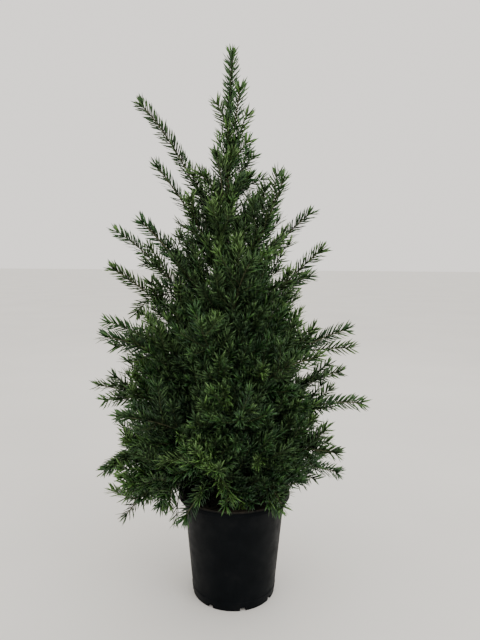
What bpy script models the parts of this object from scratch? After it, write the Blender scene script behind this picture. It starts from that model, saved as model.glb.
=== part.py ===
"""A young english yew in a plastic nursery pot, modelled in metres with +Z up.

The origin is the centre of the pot's flat underside. One stem stands in the potting soil and carries
boughs, and each bough carries one mass of foliage. A mass is a stem with side shoots, and each shoot is
a toothed blade: a slim rib with pointed needles on both sides. Short masses grow from the trunk itself.
"""

import math
import random

import bmesh
import bpy
import numpy as np
from mathutils import Vector

# The whole plant
PLANT_TOP = 0.942
CLEARANCE = 0.0003

# Nursery pot
POT_HEIGHT = 0.189
POT_FOOT_RADIUS = 0.0740
POT_TOP_RADIUS = 0.0915
POT_WALL = 0.0018
POT_FOOT_BEVEL = 0.0015
LIP_RADIUS = 0.0997
LIP_HEIGHT = 0.0100
LIP_WALL = 0.0016
LIP_BEVEL = 0.0008
FOOT_RING_WIDTH = 0.0085
FLOOR_RECESS = 0.0030
FLOOR_DISC_RADIUS = 0.0160
FLOOR_SLOPE = 0.0010
POT_SIDES = 40
POT_CREASE = 35.0
DRAIN_SLOTS = 8
DRAIN_SLOT_TURN = 0.31
DRAIN_SLOT_WIDTH = 0.0100
DRAIN_SLOT_HEIGHT = 0.0060
DRAIN_SLOT_DEPTH = 0.0080
DRAIN_HOLES = 4
DRAIN_HOLE_TURN = 0.40
DRAIN_HOLE_SIDES = 8
DRAIN_HOLE_RADIUS = 0.0045
DRAIN_HOLE_RING = 0.0450

# Potting soil
SOIL_EDGE_HEIGHT = 0.1655
SOIL_HEIGHT = 0.1690
SOIL_SHOULDER_DROP = 0.0012
SOIL_FLAT_RADIUS = 0.0220
SOIL_MARGIN = 2 * CLEARANCE
SOIL_SIDES = POT_SIDES // 2
SOIL_CREASE = 50.0

# Trunk
TRUNK_FOOT_X = -0.0050
TRUNK_LEAN = -0.0030
TRUNK_BOW = -0.0095
TRUNK_SWAY = 0.0040
TRUNK_TOP = 0.8000
TRUNK_FOOT_RADIUS = 0.0078
TRUNK_TOP_RADIUS = 0.0021
TRUNK_TAPER_POWER = 0.85
FLARE_RADIUS = 0.0062
FLARE_HEIGHT = 0.0130
FLARE_RIDGES = 5
FLARE_RIDGE_DEPTH = 0.25
TRUNK_SIDES = 10
TRUNK_RINGS = 18
TRUNK_RING_POWER = 1.5

# Boughs and the stems of the masses
BOUGH_SIDES = 5
BOUGH_RINGS = 5
BOUGH_SHARE = 0.25
BOUGH_ROOT_RADIUS = 0.0036
BOUGH_TIP_RADIUS = 0.0020
THINNEST_BOUGH = 0.75
LONG_REACH = 0.220
COLLAR_RADIUS = 0.0018
COLLAR_REACH = 0.0080
STEM_SIDES = 3
STEM_RADIUS = 0.0017
STEM_TIP_RADIUS = 0.0010
STEM_RINGS = 5
STEM_GAP = CLEARANCE + 0.0001
ROOT_CUT = 1.2 * CLEARANCE
SWERVE = 6.0
SWERVE_RATE = 400.0
STEEP = 1.1
WOOD_CREASE = 40.0

# Shoots and needles, with each spread as the lowest and highest value drawn
SHOOT_SPACING = 0.030
FIRST_SHOOT = 0.012
SHOOT_LENGTH = 0.084
SHOOT_LENGTH_LOSS = 0.30
SHOOT_LENGTH_SPREAD = (0.88, 1.08)
SHOOT_ANGLE = 44.0
SHOOT_ANGLE_SPREAD = (-7.0, 7.0)
SHOOT_SPIN = (-40.0, 40.0)
SHOOT_ROLL = (-50.0, 50.0)
SHOOT_LIFT = (0.004, 0.014)
SHOOT_AHEAD = 0.08
TIP_SHOOT = 0.080
TIP_SHOOT_LARGEST = 0.8
TIP_SHOOT_OVERLAP = 0.9
TIP_SHOOT_BARE = 0.55
TIP_SHOOT_ROLL = (25.0, 65.0)
CROSSED_SHIFT = 0.005
TOOTH_PITCH = 0.0160
FEWEST_TEETH = 3
NEEDLE_LENGTH = 0.0270
SHORT_NEEDLE = 0.6
NEEDLE_ANGLE = 50.0
NEEDLE_TESTS = (0.3, 0.65, 1.0)
RIB_HALF_WIDTH = 0.0014
RIB_HALF_THICKNESS = 0.0007
RIB_TAPER = 0.5

# The slim core of a mass
CORE_RADIUS = 0.0165
CORE_RADIUS_SPREAD = (0.85, 1.1)
CORE_RINGS = ((0.16, 0.80), (0.50, 1.0), (0.82, 0.62))
CORE_SIDES = 5
CORE_START = 0.0120
CORE_END = 0.8
CORE_SHRINK = 0.85
LEAST_CORE = 0.0045
FACE_SAMPLES = 4

# How far a mass keeps from its neighbours
CORE_MARGIN = 0.0020
SPACE_MARGIN = 0.0016
LIMB_MARGIN = 0.0016
POT_MARGIN = 0.0040
LEAST_SHARE = 0.04

# How finely lines are sampled
LENGTH_SAMPLES = 30
LINE_SAMPLES = 40
WOOD_SAMPLES = 16
TOP_SAMPLES = 20
TRUNK_SAMPLES = 160

# A direction that no limb runs along, and a step that keeps the side of an upright shoot defined
SIDE_GUIDE = (0.31, 0.95, 0.11)
NUDGE = np.array((1e-4, 0.0, 0.0))
UP = np.array((0.0, 0.0, 1.0))

# Each row is one limb, from the foot of the crown to its top: the height where it leaves the trunk,
# its azimuth in degrees (0 is +X, 90 is +Y), its reach from the trunk, the height of its tip, and how
# far the limb bows up above the straight line between its ends.
BOUGHS = (
    (0.182, 203, 0.195, 0.160, 0.055),
    (0.186, 8, 0.206, 0.204, 0.030),
    (0.200, 152, 0.215, 0.262, 0.022),
    (0.212, 338, 0.200, 0.278, 0.024),
    (0.218, 186, 0.224, 0.225, 0.032),
    (0.226, 42, 0.215, 0.290, 0.026),
    (0.238, 214, 0.206, 0.350, 0.018),
    (0.246, 118, 0.220, 0.348, 0.020),
    (0.250, 352, 0.237, 0.353, 0.034),
    (0.258, 276, 0.188, 0.368, 0.018),
    (0.268, 178, 0.244, 0.371, 0.022),
    (0.277, 68, 0.222, 0.400, 0.018),
    (0.292, 13, 0.216, 0.392, 0.022),
    (0.316, 196, 0.221, 0.468, 0.034),
    (0.326, 322, 0.190, 0.450, 0.016),
    (0.334, 138, 0.212, 0.480, 0.016),
    (0.342, 0, 0.214, 0.478, 0.022),
    (0.372, 188, 0.202, 0.583, 0.022),
    (0.418, 165, 0.221, 0.651, 0.024),
)

# Limbs with no bough: the mass grows from the trunk itself
SPURS = (
    (0.180, 268, 0.145, 0.215, 0.020),
    (0.191, 236, 0.136, 0.174, 0.040),
    (0.190, 306, 0.152, 0.200, 0.034),
    (0.192, 84, 0.208, 0.228, 0.030),
    (0.208, 248, 0.168, 0.280, 0.026),
    (0.355, 256, 0.150, 0.500, 0.010),
    (0.385, 78, 0.172, 0.565, 0.012),
    (0.430, 345, 0.168, 0.617, 0.014),
    (0.450, 292, 0.120, 0.600, 0.008),
    (0.455, 207, 0.158, 0.660, 0.020),
    (0.475, 12, 0.156, 0.683, 0.022),
    (0.520, 112, 0.115, 0.700, 0.010),
    (0.535, 335, 0.107, 0.737, -0.020),
    (0.565, 205, 0.128, 0.750, 0.012),
    (0.600, 172, 0.156, 0.864, 0.030),
    (0.630, 255, 0.062, 0.770, 0.004),
    (0.665, 48, 0.058, 0.790, 0.004),
    (0.720, 340, 0.024, 0.886, 0.004),
)

# Base colours
BARK = (0.135, 0.085, 0.055)
NEEDLES = (0.030, 0.085, 0.022)
SOIL = (0.055, 0.038, 0.027)
PLASTIC = (0.012, 0.015, 0.020)


def remove_old_objects():
    for item in list(bpy.data.objects):
        bpy.data.objects.remove(item, do_unlink=True)


def material(name, colour, roughness, metallic=0.0):
    finish = bpy.data.materials.new(name)
    finish.use_nodes = True
    shader = finish.node_tree.nodes["Principled BSDF"]
    shader.inputs["Base Color"].default_value = (*colour, 1.0)
    shader.inputs["Roughness"].default_value = roughness
    shader.inputs["Metallic"].default_value = metallic
    return finish


def closed_object(name, points, faces, finish):
    """An object from points and faces, with all faces turned outward."""
    mesh = bpy.data.meshes.new(name)
    mesh.from_pydata([tuple(map(float, point)) for point in points], [], faces)
    shape = bmesh.new()
    shape.from_mesh(mesh)
    bmesh.ops.recalc_face_normals(shape, faces=shape.faces)
    shape.to_mesh(mesh)
    shape.free()
    mesh.materials.append(finish)
    piece = bpy.data.objects.new(name, mesh)
    bpy.context.scene.collection.objects.link(piece)
    return piece


def apply_boolean(piece, operation, cutter=None, group=None):
    """Apply one Boolean with a cutter or with all objects of a collection, then remove those."""
    boolean = piece.modifiers.new("join", "BOOLEAN")
    boolean.operation = operation
    boolean.solver = "EXACT"
    if group is None:
        boolean.object = cutter
    else:
        boolean.operand_type = "COLLECTION"
        boolean.collection = group
    view = bpy.context.evaluated_depsgraph_get()
    result = bpy.data.meshes.new_from_object(piece.evaluated_get(view))
    piece.modifiers.clear()
    piece.data = result
    used = [cutter] if group is None else list(group.objects)
    for item in used:
        bpy.data.objects.remove(item, do_unlink=True)
    if group is not None:
        bpy.data.collections.remove(group)


def keep_largest_body(piece):
    """Drop loose scraps that a union leaves beside the main body."""
    shape = bmesh.new()
    shape.from_mesh(piece.data)
    waiting = set(shape.verts)
    bodies = []
    while waiting:
        front = [waiting.pop()]
        body = set(front)
        while front:
            for edge in front.pop().link_edges:
                for point in edge.verts:
                    if point in waiting:
                        waiting.discard(point)
                        body.add(point)
                        front.append(point)
        bodies.append(body)
    bodies.sort(key=len)
    for body in bodies[:-1]:
        bmesh.ops.delete(shape, geom=list(body), context="VERTS")
    shape.to_mesh(piece.data)
    shape.free()


def smooth(piece, crease):
    piece.data.shade_smooth()
    piece.data.set_sharp_from_angle(angle=math.radians(crease))


def new_group(name):
    group = bpy.data.collections.new(name)
    bpy.context.scene.collection.children.link(group)
    return group


def move_to(piece, group):
    """Put a cutter or a loose blade in a collection, as a guide that isn't part of the model."""
    for owner in list(piece.users_collection):
        owner.objects.unlink(piece)
    group.objects.link(piece)
    piece.hide_render = True
    piece.display_type = "WIRE"


def unit(vector):
    return vector / np.linalg.norm(vector)


def turned(name, profile, sides, finish):
    """A solid of revolution from (radius, height) points that run round the section."""
    points = []
    rings = []
    for radius, height in profile:
        if radius == 0.0:
            rings.append([len(points)] * sides)
            points.append((0.0, 0.0, height))
            continue
        rings.append(list(range(len(points), len(points) + sides)))
        for side in range(sides):
            angle = 2 * math.pi * side / sides
            points.append((radius * math.cos(angle), radius * math.sin(angle), height))
    faces = []
    for lower, upper in zip(rings, rings[1:]):
        for side in range(sides):
            after = (side + 1) % sides
            corners = (lower[side], lower[after], upper[after], upper[side])
            faces.append(tuple(dict.fromkeys(corners)))
    return closed_object(name, points, faces, finish)


def tube(name, centres, radii, sides, finish, turn=0.0):
    """A closed tube along centres; radii are numbers or functions of the angle."""
    centres = np.asarray(centres)
    tangents = np.gradient(centres, axis=0)
    points = []
    side = None
    for centre, tangent, radius in zip(centres, tangents, radii):
        tangent = unit(tangent)
        if side is None:
            side = np.cross(tangent, SIDE_GUIDE)
        side = unit(side - tangent * np.dot(side, tangent))
        other = np.cross(tangent, side)
        for corner in range(sides):
            angle = 2 * math.pi * (corner + turn) / sides
            size = radius(angle) if callable(radius) else radius
            points.append(centre + size * (math.cos(angle) * side + math.sin(angle) * other))
    faces = [tuple(range(sides))[::-1]]
    for ring in range(len(centres) - 1):
        for corner in range(sides):
            low = ring * sides + corner
            after = ring * sides + (corner + 1) % sides
            faces.append((low, after, after + sides, low + sides))
    faces.append(tuple(range(len(points) - sides, len(points))))
    return closed_object(name, points, faces, finish)


def wall_radius(height):
    """Outer radius of the pot's tapered body."""
    return POT_FOOT_RADIUS + (POT_TOP_RADIUS - POT_FOOT_RADIUS) * height / POT_HEIGHT


def make_pot(finish):
    lip_foot = POT_HEIGHT - LIP_HEIGHT
    under_lip = POT_HEIGHT - LIP_WALL
    inner_floor = FLOOR_RECESS + POT_WALL
    recess_edge = POT_FOOT_RADIUS - FOOT_RING_WIDTH
    profile = [
        (0.0, 0.0),
        (FLOOR_DISC_RADIUS, 0.0),
        (FLOOR_DISC_RADIUS + FLOOR_SLOPE, FLOOR_RECESS),
        (recess_edge, FLOOR_RECESS),
        (recess_edge + FLOOR_SLOPE, 0.0),
        (POT_FOOT_RADIUS - POT_FOOT_BEVEL, 0.0),
        (wall_radius(POT_FOOT_BEVEL), POT_FOOT_BEVEL),
        (wall_radius(under_lip), under_lip),
        (LIP_RADIUS - LIP_WALL, under_lip),
        (LIP_RADIUS - LIP_WALL, lip_foot),
        (LIP_RADIUS, lip_foot),
        (LIP_RADIUS - LIP_BEVEL, POT_HEIGHT),
        (wall_radius(POT_HEIGHT) - POT_WALL, POT_HEIGHT),
        (wall_radius(inner_floor) - POT_WALL, inner_floor),
        (0.0, inner_floor),
    ]
    pot = turned("pot", profile, POT_SIDES, finish)
    cutters = new_group("drain cutters")
    for number in range(DRAIN_SLOTS):
        angle = 2 * math.pi * (number + DRAIN_SLOT_TURN) / DRAIN_SLOTS
        move_to(slot_cutter(angle, finish), cutters)
    for number in range(DRAIN_HOLES):
        angle = 2 * math.pi * (number + DRAIN_HOLE_TURN) / DRAIN_HOLES
        move_to(hole_cutter(angle, finish), cutters)
    apply_boolean(pot, "DIFFERENCE", group=cutters)
    smooth(pot, POT_CREASE)


def slot_cutter(angle, finish):
    """A block across the pot's lower corner, which leaves one drain slot."""
    out = Vector((math.cos(angle), math.sin(angle), 0.0))
    side = Vector((-out.y, out.x, 0.0))
    points = []
    for along in (POT_FOOT_RADIUS - DRAIN_SLOT_DEPTH, POT_FOOT_RADIUS + DRAIN_SLOT_DEPTH):
        for across in (-DRAIN_SLOT_WIDTH / 2, DRAIN_SLOT_WIDTH / 2):
            for height in (-DRAIN_SLOT_HEIGHT, DRAIN_SLOT_HEIGHT):
                points.append(out * along + side * across + Vector((0.0, 0.0, height)))
    faces = [(0, 1, 3, 2), (4, 6, 7, 5), (0, 4, 5, 1), (2, 3, 7, 6), (0, 2, 6, 4), (1, 5, 7, 3)]
    return closed_object("slot cutter", points, faces, finish)


def hole_cutter(angle, finish):
    """A short cylinder through the pot's floor, which leaves one drain hole."""
    depth = FLOOR_RECESS + POT_WALL
    radius = DRAIN_HOLE_RADIUS
    profile = [(0.0, -depth), (radius, -depth), (radius, 2 * depth), (0.0, 2 * depth)]
    hole = turned("hole cutter", profile, DRAIN_HOLE_SIDES, finish)
    place = Vector((DRAIN_HOLE_RING * math.cos(angle), DRAIN_HOLE_RING * math.sin(angle), 0.0))
    for point in hole.data.vertices:
        point.co += place
    return hole


def make_soil(finish):
    foot = FLOOR_RECESS + POT_WALL + CLEARANCE
    inset = POT_WALL + SOIL_MARGIN
    profile = [
        (0.0, foot),
        (wall_radius(foot) - inset, foot),
        (wall_radius(SOIL_EDGE_HEIGHT) - inset, SOIL_EDGE_HEIGHT),
        ((wall_radius(SOIL_HEIGHT) + SOIL_FLAT_RADIUS) / 2, SOIL_HEIGHT - SOIL_SHOULDER_DROP),
        (SOIL_FLAT_RADIUS, SOIL_HEIGHT),
        (0.0, SOIL_HEIGHT),
    ]
    soil = turned("soil", profile, SOIL_SIDES, finish)
    smooth(soil, SOIL_CREASE)


def trunk_centre(height):
    """The trunk's centre line: a slight lean, one long bow and a little sway."""
    share = (height - SOIL_HEIGHT) / (PLANT_TOP - SOIL_HEIGHT)
    x = TRUNK_FOOT_X + TRUNK_LEAN * share + TRUNK_BOW * math.sin(math.pi * share)
    y = TRUNK_SWAY * math.sin(2 * math.pi * share)
    return np.array((x, y, height))


def trunk_radius(height, angle=0.0):
    """The trunk's radius, with a ridged flare over its foot."""
    share = (height - SOIL_HEIGHT) / (TRUNK_TOP - SOIL_HEIGHT)
    taper = TRUNK_FOOT_RADIUS + (TRUNK_TOP_RADIUS - TRUNK_FOOT_RADIUS) * share ** TRUNK_TAPER_POWER
    flare = FLARE_RADIUS * math.exp(-(height - SOIL_HEIGHT) / FLARE_HEIGHT)
    return taper + flare * (1 - FLARE_RIDGE_DEPTH + FLARE_RIDGE_DEPTH * math.cos(FLARE_RIDGES * angle))


def trunk_tube(name, grown, finish):
    """The trunk, or with grown above 0 a slightly larger copy that cuts the limbs' roots."""
    foot = SOIL_HEIGHT + CLEARANCE
    shares = [(ring / (TRUNK_RINGS - 1)) ** TRUNK_RING_POWER for ring in range(TRUNK_RINGS)]
    heights = [foot + (TRUNK_TOP - foot) * share for share in shares]
    centres = [trunk_centre(height) for height in heights]
    radii = [lambda angle, height=height: trunk_radius(height, angle) + grown for height in heights]
    piece = tube(name, centres, radii, TRUNK_SIDES, finish)
    for point in piece.data.vertices[:TRUNK_SIDES]:
        point.co.z = foot
    return piece


def cut_by_trunk(piece, finish):
    """Cut a limb's buried root away, a clearance outside the trunk."""
    apply_boolean(piece, "DIFFERENCE", cutter=trunk_tube("trunk cutter", ROOT_CUT, finish))
    keep_largest_body(piece)


def limb_point(row, share):
    """A point on a limb's centre line, from 0 on the trunk's own to 1 at the tip."""
    height, azimuth, reach, tip_height, bow = row
    centre = trunk_centre(height)
    swerve = SWERVE * math.sin(height * SWERVE_RATE) * math.sin(math.pi * share)
    angle = math.radians(azimuth + swerve)
    z = height + (tip_height - height) * share + 4 * bow * share * (1 - share)
    return np.array((
        centre[0] + reach * share * math.cos(angle),
        centre[1] + reach * share * math.sin(angle),
        z,
    ))


def limb_path(row, start, end, count):
    return np.array([limb_point(row, start + (end - start) * step / (count - 1)) for step in range(count)])


def path_length(path):
    return float(np.linalg.norm(np.diff(path, axis=0), axis=1).sum())


def point_along(path, share):
    """A point at a share of a sampled path's length."""
    lengths = np.concatenate(([0.0], np.cumsum(np.linalg.norm(np.diff(path, axis=0), axis=1))))
    wanted = min(max(share, 0.0), 1.0) * lengths[-1]
    return np.array([np.interp(wanted, lengths, path[:, axis]) for axis in range(3)])


def side_name(azimuth):
    names = ("right", "back_right", "back", "back_left", "left", "front_left", "front", "front_right")
    return names[round(azimuth / 45.0) % 8]


class Limb:
    """One limb's name, its row, where its mass begins, and the sampled lines that keep its space."""

    def __init__(self, number, row, has_bough):
        self.row = row
        self.has_bough = has_bough
        self.name = f"{number:02d}_{side_name(row[1])}"
        self.length = path_length(limb_path(row, 0.0, 1.0, LENGTH_SAMPLES))
        self.start = BOUGH_SHARE if has_bough else 0.0
        self.foliage_line = limb_path(row, max(self.start, LEAST_SHARE), 1.0, LINE_SAMPLES)


def bough_radius(share, row):
    """A bough's radius at a share of its limb: a longer limb has a thicker root."""
    part = share / BOUGH_SHARE
    size = THINNEST_BOUGH + (1 - THINNEST_BOUGH) * row[2] / LONG_REACH
    return BOUGH_ROOT_RADIUS * size * (1 - part) + BOUGH_TIP_RADIUS * part


def make_bough(limb, finish):
    """A tapering limb with a collar where it leaves the trunk."""
    shares = [BOUGH_SHARE * ring / (BOUGH_RINGS - 1) for ring in range(BOUGH_RINGS)]
    centres = [limb_point(limb.row, share) for share in shares]
    radii = []
    for share in shares:
        distance = max(share * limb.length - trunk_radius(limb.row[0]), 0.0)
        collar = COLLAR_RADIUS * math.exp(-distance / COLLAR_REACH)
        radii.append(bough_radius(share, limb.row) + collar)
    bough = tube(f"bough_{limb.name}", centres, radii, BOUGH_SIDES, finish)
    cut_by_trunk(bough, finish)
    smooth(bough, WOOD_CREASE)


def nearest(points, line):
    gaps = points[:, None, :] - line[None, :, :]
    return np.sqrt((gaps ** 2).sum(axis=2)).min(axis=1)


class Spaces:
    """Says which points lie in a mass's own space: nearest to its stem, and clear of wood and pot."""

    def __init__(self, limbs):
        self.lines = {limb.name: limb.foliage_line for limb in limbs}
        top = np.linspace(TRUNK_TOP, PLANT_TOP, TOP_SAMPLES)
        self.lines["top"] = np.array([trunk_centre(height) for height in top])
        self.others = {}
        for owner in self.lines:
            self.others[owner] = np.vstack([line for name, line in self.lines.items() if name != owner])
        heights = np.linspace(SOIL_HEIGHT, TRUNK_TOP, TRUNK_SAMPLES)
        wood = [np.array([trunk_centre(height) for height in heights])]
        radii = [np.array([trunk_radius(height) for height in heights])]
        shares = np.linspace(0.0, BOUGH_SHARE, WOOD_SAMPLES)
        for limb in limbs:
            if limb.has_bough:
                wood.append(limb_path(limb.row, 0.0, BOUGH_SHARE, WOOD_SAMPLES))
                radii.append(bough_radius(shares, limb.row))
        self.wood = np.vstack(wood)
        self.radii = np.concatenate(radii)

    def clear(self, points, owner, extra=0.0):
        """One truth value for each point; extra widens every margin."""
        points = np.atleast_2d(points)
        own = nearest(points, self.lines[owner])
        good = nearest(points, self.others[owner]) - own > SPACE_MARGIN + extra
        gaps = np.sqrt(((points[:, None, :] - self.wood[None]) ** 2).sum(axis=2)) - self.radii
        good &= gaps.min(axis=1) > LIMB_MARGIN + extra
        radius = np.hypot(points[:, 0], points[:, 1])
        over_pot = (radius < LIP_RADIUS + POT_MARGIN) & (points[:, 2] < POT_HEIGHT + POT_MARGIN)
        return good & ~over_pot


def needle_tip(root, way, owner, spaces):
    """The tip of one needle, or of a short one where there is less room, or None where there is none."""
    for length in (NEEDLE_LENGTH, NEEDLE_LENGTH * SHORT_NEEDLE):
        trial = np.array([root + way * length * part for part in NEEDLE_TESTS])
        if spaces.clear(trial, owner).all():
            return trial[-1]
    return None


def toothed_blade(ribs, spread, bare, owner, spaces, finish):
    """One shoot: a flat rib along ribs with a pointed needle on each side of every segment.

    The needles lie in the plane of the rib and spread, and the first segments, bare in number, have
    none. The shoot ends where it would leave its space, and is None when too little of it is left.
    """
    tangents = np.gradient(ribs, axis=0)
    tangents /= np.linalg.norm(tangents, axis=1)[:, None]
    fits = spaces.clear(ribs[bare:], owner)
    count = len(ribs) if fits.all() else bare + int(np.argmin(fits))
    if count < bare + FEWEST_TEETH:
        return None
    acrosses = [unit(spread - tangent * np.dot(spread, tangent)) for tangent in tangents]
    points = []
    for index in range(count - 1):
        thick = np.cross(tangents[index], acrosses[index])
        size = 1 - RIB_TAPER * index / (len(ribs) - 1)
        for one, two in ((-1, 1), (1, 1), (1, -1), (-1, -1)):
            corner = one * RIB_HALF_WIDTH * acrosses[index] + two * RIB_HALF_THICKNESS * thick
            points.append(ribs[index] + size * corner)
    faces = [(0, 1, 2, 3)]
    angle = math.radians(NEEDLE_ANGLE)
    for index in range(count - 2):
        low = 4 * index
        high = low + 4
        faces.append((low, low + 1, high + 1, high))
        faces.append((low + 3, high + 3, high + 2, low + 2))
        middle = (ribs[index] + ribs[index + 1]) / 2
        for sign, top, under in ((-1, 0, 3), (1, 1, 2)):
            corners = (low + top, high + top, high + under, low + under)
            way = math.cos(angle) * tangents[index] + math.sin(angle) * sign * acrosses[index]
            tip = needle_tip(middle, way, owner, spaces) if index >= bare else None
            if tip is None:
                faces.append(corners)
                continue
            points.append(tip)
            faces.extend((corners[side], corners[(side + 1) % 4], len(points) - 1) for side in range(4))
    low = 4 * (count - 2)
    points.append(ribs[count - 1])
    faces.extend((low + side, low + (side + 1) % 4, len(points) - 1) for side in range(4))
    return closed_object("shoot", points, faces, finish)


def core_faces():
    """Triangles between the rings of a core and to its two end points."""
    faces = []
    last = len(CORE_RINGS) * CORE_SIDES
    for side in range(CORE_SIDES):
        after = (side + 1) % CORE_SIDES
        for ring in range(len(CORE_RINGS) - 1):
            low = ring * CORE_SIDES
            high = low + CORE_SIDES
            faces.append((low + side, low + after, high + after))
            faces.append((low + side, high + after, high + side))
        faces.append((last, after, side))
        faces.append((last + 1, last - CORE_SIDES + side, last - CORE_SIDES + after))
    return faces


def make_core(stem, begin, end, owner, spaces, chance, finish):
    """The dense middle of a mass: a slim closed form round its stem, shrunk until it fits its space."""
    tangents = np.gradient(stem, axis=0)
    centres = []
    ways = []
    sizes = []
    for part, size in CORE_RINGS:
        share = begin + (end - begin) * part
        tangent = unit(tangents[min(int(share * len(stem)), len(stem) - 1)])
        level = unit(np.cross(tangent, SIDE_GUIDE))
        over = np.cross(tangent, level)
        turn = chance.uniform(0.0, 0.5)
        for side in range(CORE_SIDES):
            angle = 2 * math.pi * (side + turn) / CORE_SIDES
            centres.append(point_along(stem, share))
            ways.append(level * math.cos(angle) + over * math.sin(angle))
            sizes.append(CORE_RADIUS * size * chance.uniform(*CORE_RADIUS_SPREAD))
    centres, ways, sizes = np.array(centres), np.array(ways), np.array(sizes)
    ends = [point_along(stem, begin), point_along(stem, end)]
    corners = np.array(core_faces())
    steps = range(FACE_SAMPLES + 1)
    weights = [(a, b, FACE_SAMPLES - a - b) for a in steps for b in steps if a + b <= FACE_SAMPLES]
    weights = np.array(weights) / FACE_SAMPLES
    while sizes.min() > LEAST_CORE:
        points = np.vstack((centres + ways * sizes[:, None], ends))
        samples = np.einsum("wc,fcx->fwx", weights, points[corners]).reshape(-1, 3)
        fits = spaces.clear(samples, owner, CORE_MARGIN).reshape(len(corners), -1).all(axis=1)
        if fits.all():
            return closed_object("core", points, corners.tolist(), finish)
        tight = np.unique(corners[~fits])
        sizes[tight[tight < len(sizes)]] *= CORE_SHRINK
    return None


def tip_shoots(stem, tip_share, crossed, owner, spaces, chance, finish):
    """The shoot on a stem's end, or two crossed ones where the stem is steep."""
    length = path_length(stem)
    steps = max(4, round(tip_share * length / TOOTH_PITCH)) + 1
    ribs = np.array([point_along(stem, 1 - tip_share * (1 - step / (steps - 1))) for step in range(steps)])
    tangent = unit(stem[-1] - stem[-4])
    level = unit(np.cross(tangent, UP) + NUDGE)
    upward = np.cross(level, tangent)
    roll = math.radians(chance.uniform(*TIP_SHOOT_ROLL) * chance.choice((-1, 1)))
    spread = level * math.cos(roll) + upward * math.sin(roll)
    shoots = [toothed_blade(ribs, spread, 0, owner, spaces, finish)]
    if crossed:
        spread = level * -math.sin(roll) + upward * math.cos(roll)
        shoots.append(toothed_blade(ribs - tangent * CROSSED_SHIFT, spread, 0, owner, spaces, finish))
    return shoots


def side_shoots(stem, buried, owner, spaces, chance, finish):
    """Shoots that leave the stem on alternate sides, shorter towards its tip."""
    shoots = []
    length = path_length(stem)
    side = chance.choice((-1, 1))
    leafy = length - buried - FIRST_SHOOT - TIP_SHOOT_BARE * TIP_SHOOT
    count = max(2, round(leafy / SHOOT_SPACING))
    for number in range(count):
        station = number / count
        share = (buried + FIRST_SHOOT + leafy * station) / length
        root = point_along(stem, share)
        ahead = unit(point_along(stem, share + SHOOT_AHEAD) - root)
        across = unit(np.cross(ahead, UP) + NUDGE)
        over = np.cross(across, ahead)
        spin = math.radians(chance.uniform(*SHOOT_SPIN))
        outward = side * (across * math.cos(spin) + over * math.sin(spin))
        angle = math.radians(SHOOT_ANGLE + chance.uniform(*SHOOT_ANGLE_SPREAD))
        way = unit(ahead * math.cos(angle) + outward * math.sin(angle))
        size = SHOOT_LENGTH * (1.0 - SHOOT_LENGTH_LOSS * station) * chance.uniform(*SHOOT_LENGTH_SPREAD)
        face = unit(np.cross(way, UP))
        roll = math.radians(chance.uniform(*SHOOT_ROLL))
        spread = face * math.cos(roll) + np.cross(face, way) * math.sin(roll)
        ribs = shoot_ribs(root, way, size, chance.uniform(*SHOOT_LIFT))
        shoots.append(toothed_blade(ribs, spread, 1, owner, spaces, finish))
        side = -side
    return shoots


def shoot_ribs(root, way, length, lift):
    """Rib points of a side shoot that curves up a little towards its end."""
    count = max(4, round(length / TOOTH_PITCH)) + 1
    shares = [step / (count - 1) for step in range(count)]
    return np.array([root + way * length * share + UP * lift * share ** 2 for share in shares])


def make_mass(name, owner, stem, buried, crossed, seed, spaces, finish):
    """One mass of foliage: a stem, a slim core, side shoots on both sides, and a shoot on the stem's end.

    The first stretch of the stem, buried long, lies inside the trunk and is cut off later.
    """
    chance = random.Random(seed)
    length = path_length(stem)
    tip_share = min(TIP_SHOOT / length, TIP_SHOOT_LARGEST)
    rings = max(3, round(STEM_RINGS * (1 - tip_share)) + 1)
    wood_end = 1 - tip_share * TIP_SHOOT_OVERLAP
    wood = [point_along(stem, wood_end * ring / (rings - 1)) for ring in range(rings)]
    radii = [STEM_RADIUS + (STEM_TIP_RADIUS - STEM_RADIUS) * ring / (rings - 1) for ring in range(rings)]
    mass = tube(name, wood, radii, STEM_SIDES, finish, turn=chance.random())
    begin = (buried + CORE_START) / length
    core = make_core(stem, begin, 1 - CORE_END * tip_share, owner, spaces, chance, finish)
    blades = tip_shoots(stem, tip_share, crossed, owner, spaces, chance, finish)
    blades.extend(side_shoots(stem, buried, owner, spaces, chance, finish))
    blades.append(core)
    group = new_group(f"{name} shoots")
    for blade in blades:
        if blade is not None:
            move_to(blade, group)
    apply_boolean(mass, "UNION", group=group)
    keep_largest_body(mass)
    return mass


def make_masses(limbs, spaces, finish):
    for number, limb in enumerate(limbs, 1):
        first = limb.start + STEM_GAP / limb.length if limb.has_bough else 0.0
        stem = limb_path(limb.row, first, 1.0, LINE_SAMPLES)
        steep = limb.row[3] - limb.row[0] > STEEP * limb.row[2]
        buried = 0.0 if limb.has_bough else trunk_radius(limb.row[0])
        mass = make_mass(f"foliage_{limb.name}", limb.name, stem, buried, steep, number, spaces, finish)
        if not limb.has_bough:
            cut_by_trunk(mass, finish)
    heights = np.linspace(TRUNK_TOP + CLEARANCE, PLANT_TOP, LINE_SAMPLES)
    stem = np.array([trunk_centre(height) for height in heights])
    make_mass("foliage_top", "top", stem, 0.0, True, len(limbs) + 1, spaces, finish)


def main():
    remove_old_objects()
    bark = material("bark", BARK, 0.85)
    needles = material("needles", NEEDLES, 0.55)
    make_pot(material("pot plastic", PLASTIC, 0.45))
    make_soil(material("soil", SOIL, 0.95))
    smooth(trunk_tube("trunk", 0.0, bark), WOOD_CREASE)
    rows = [(row, True) for row in BOUGHS] + [(row, False) for row in SPURS]
    limbs = [Limb(number, row, has_bough) for number, (row, has_bough) in enumerate(rows, 1)]
    for limb in limbs:
        if limb.has_bough:
            make_bough(limb, bark)
    make_masses(limbs, Spaces(limbs), needles)


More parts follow.
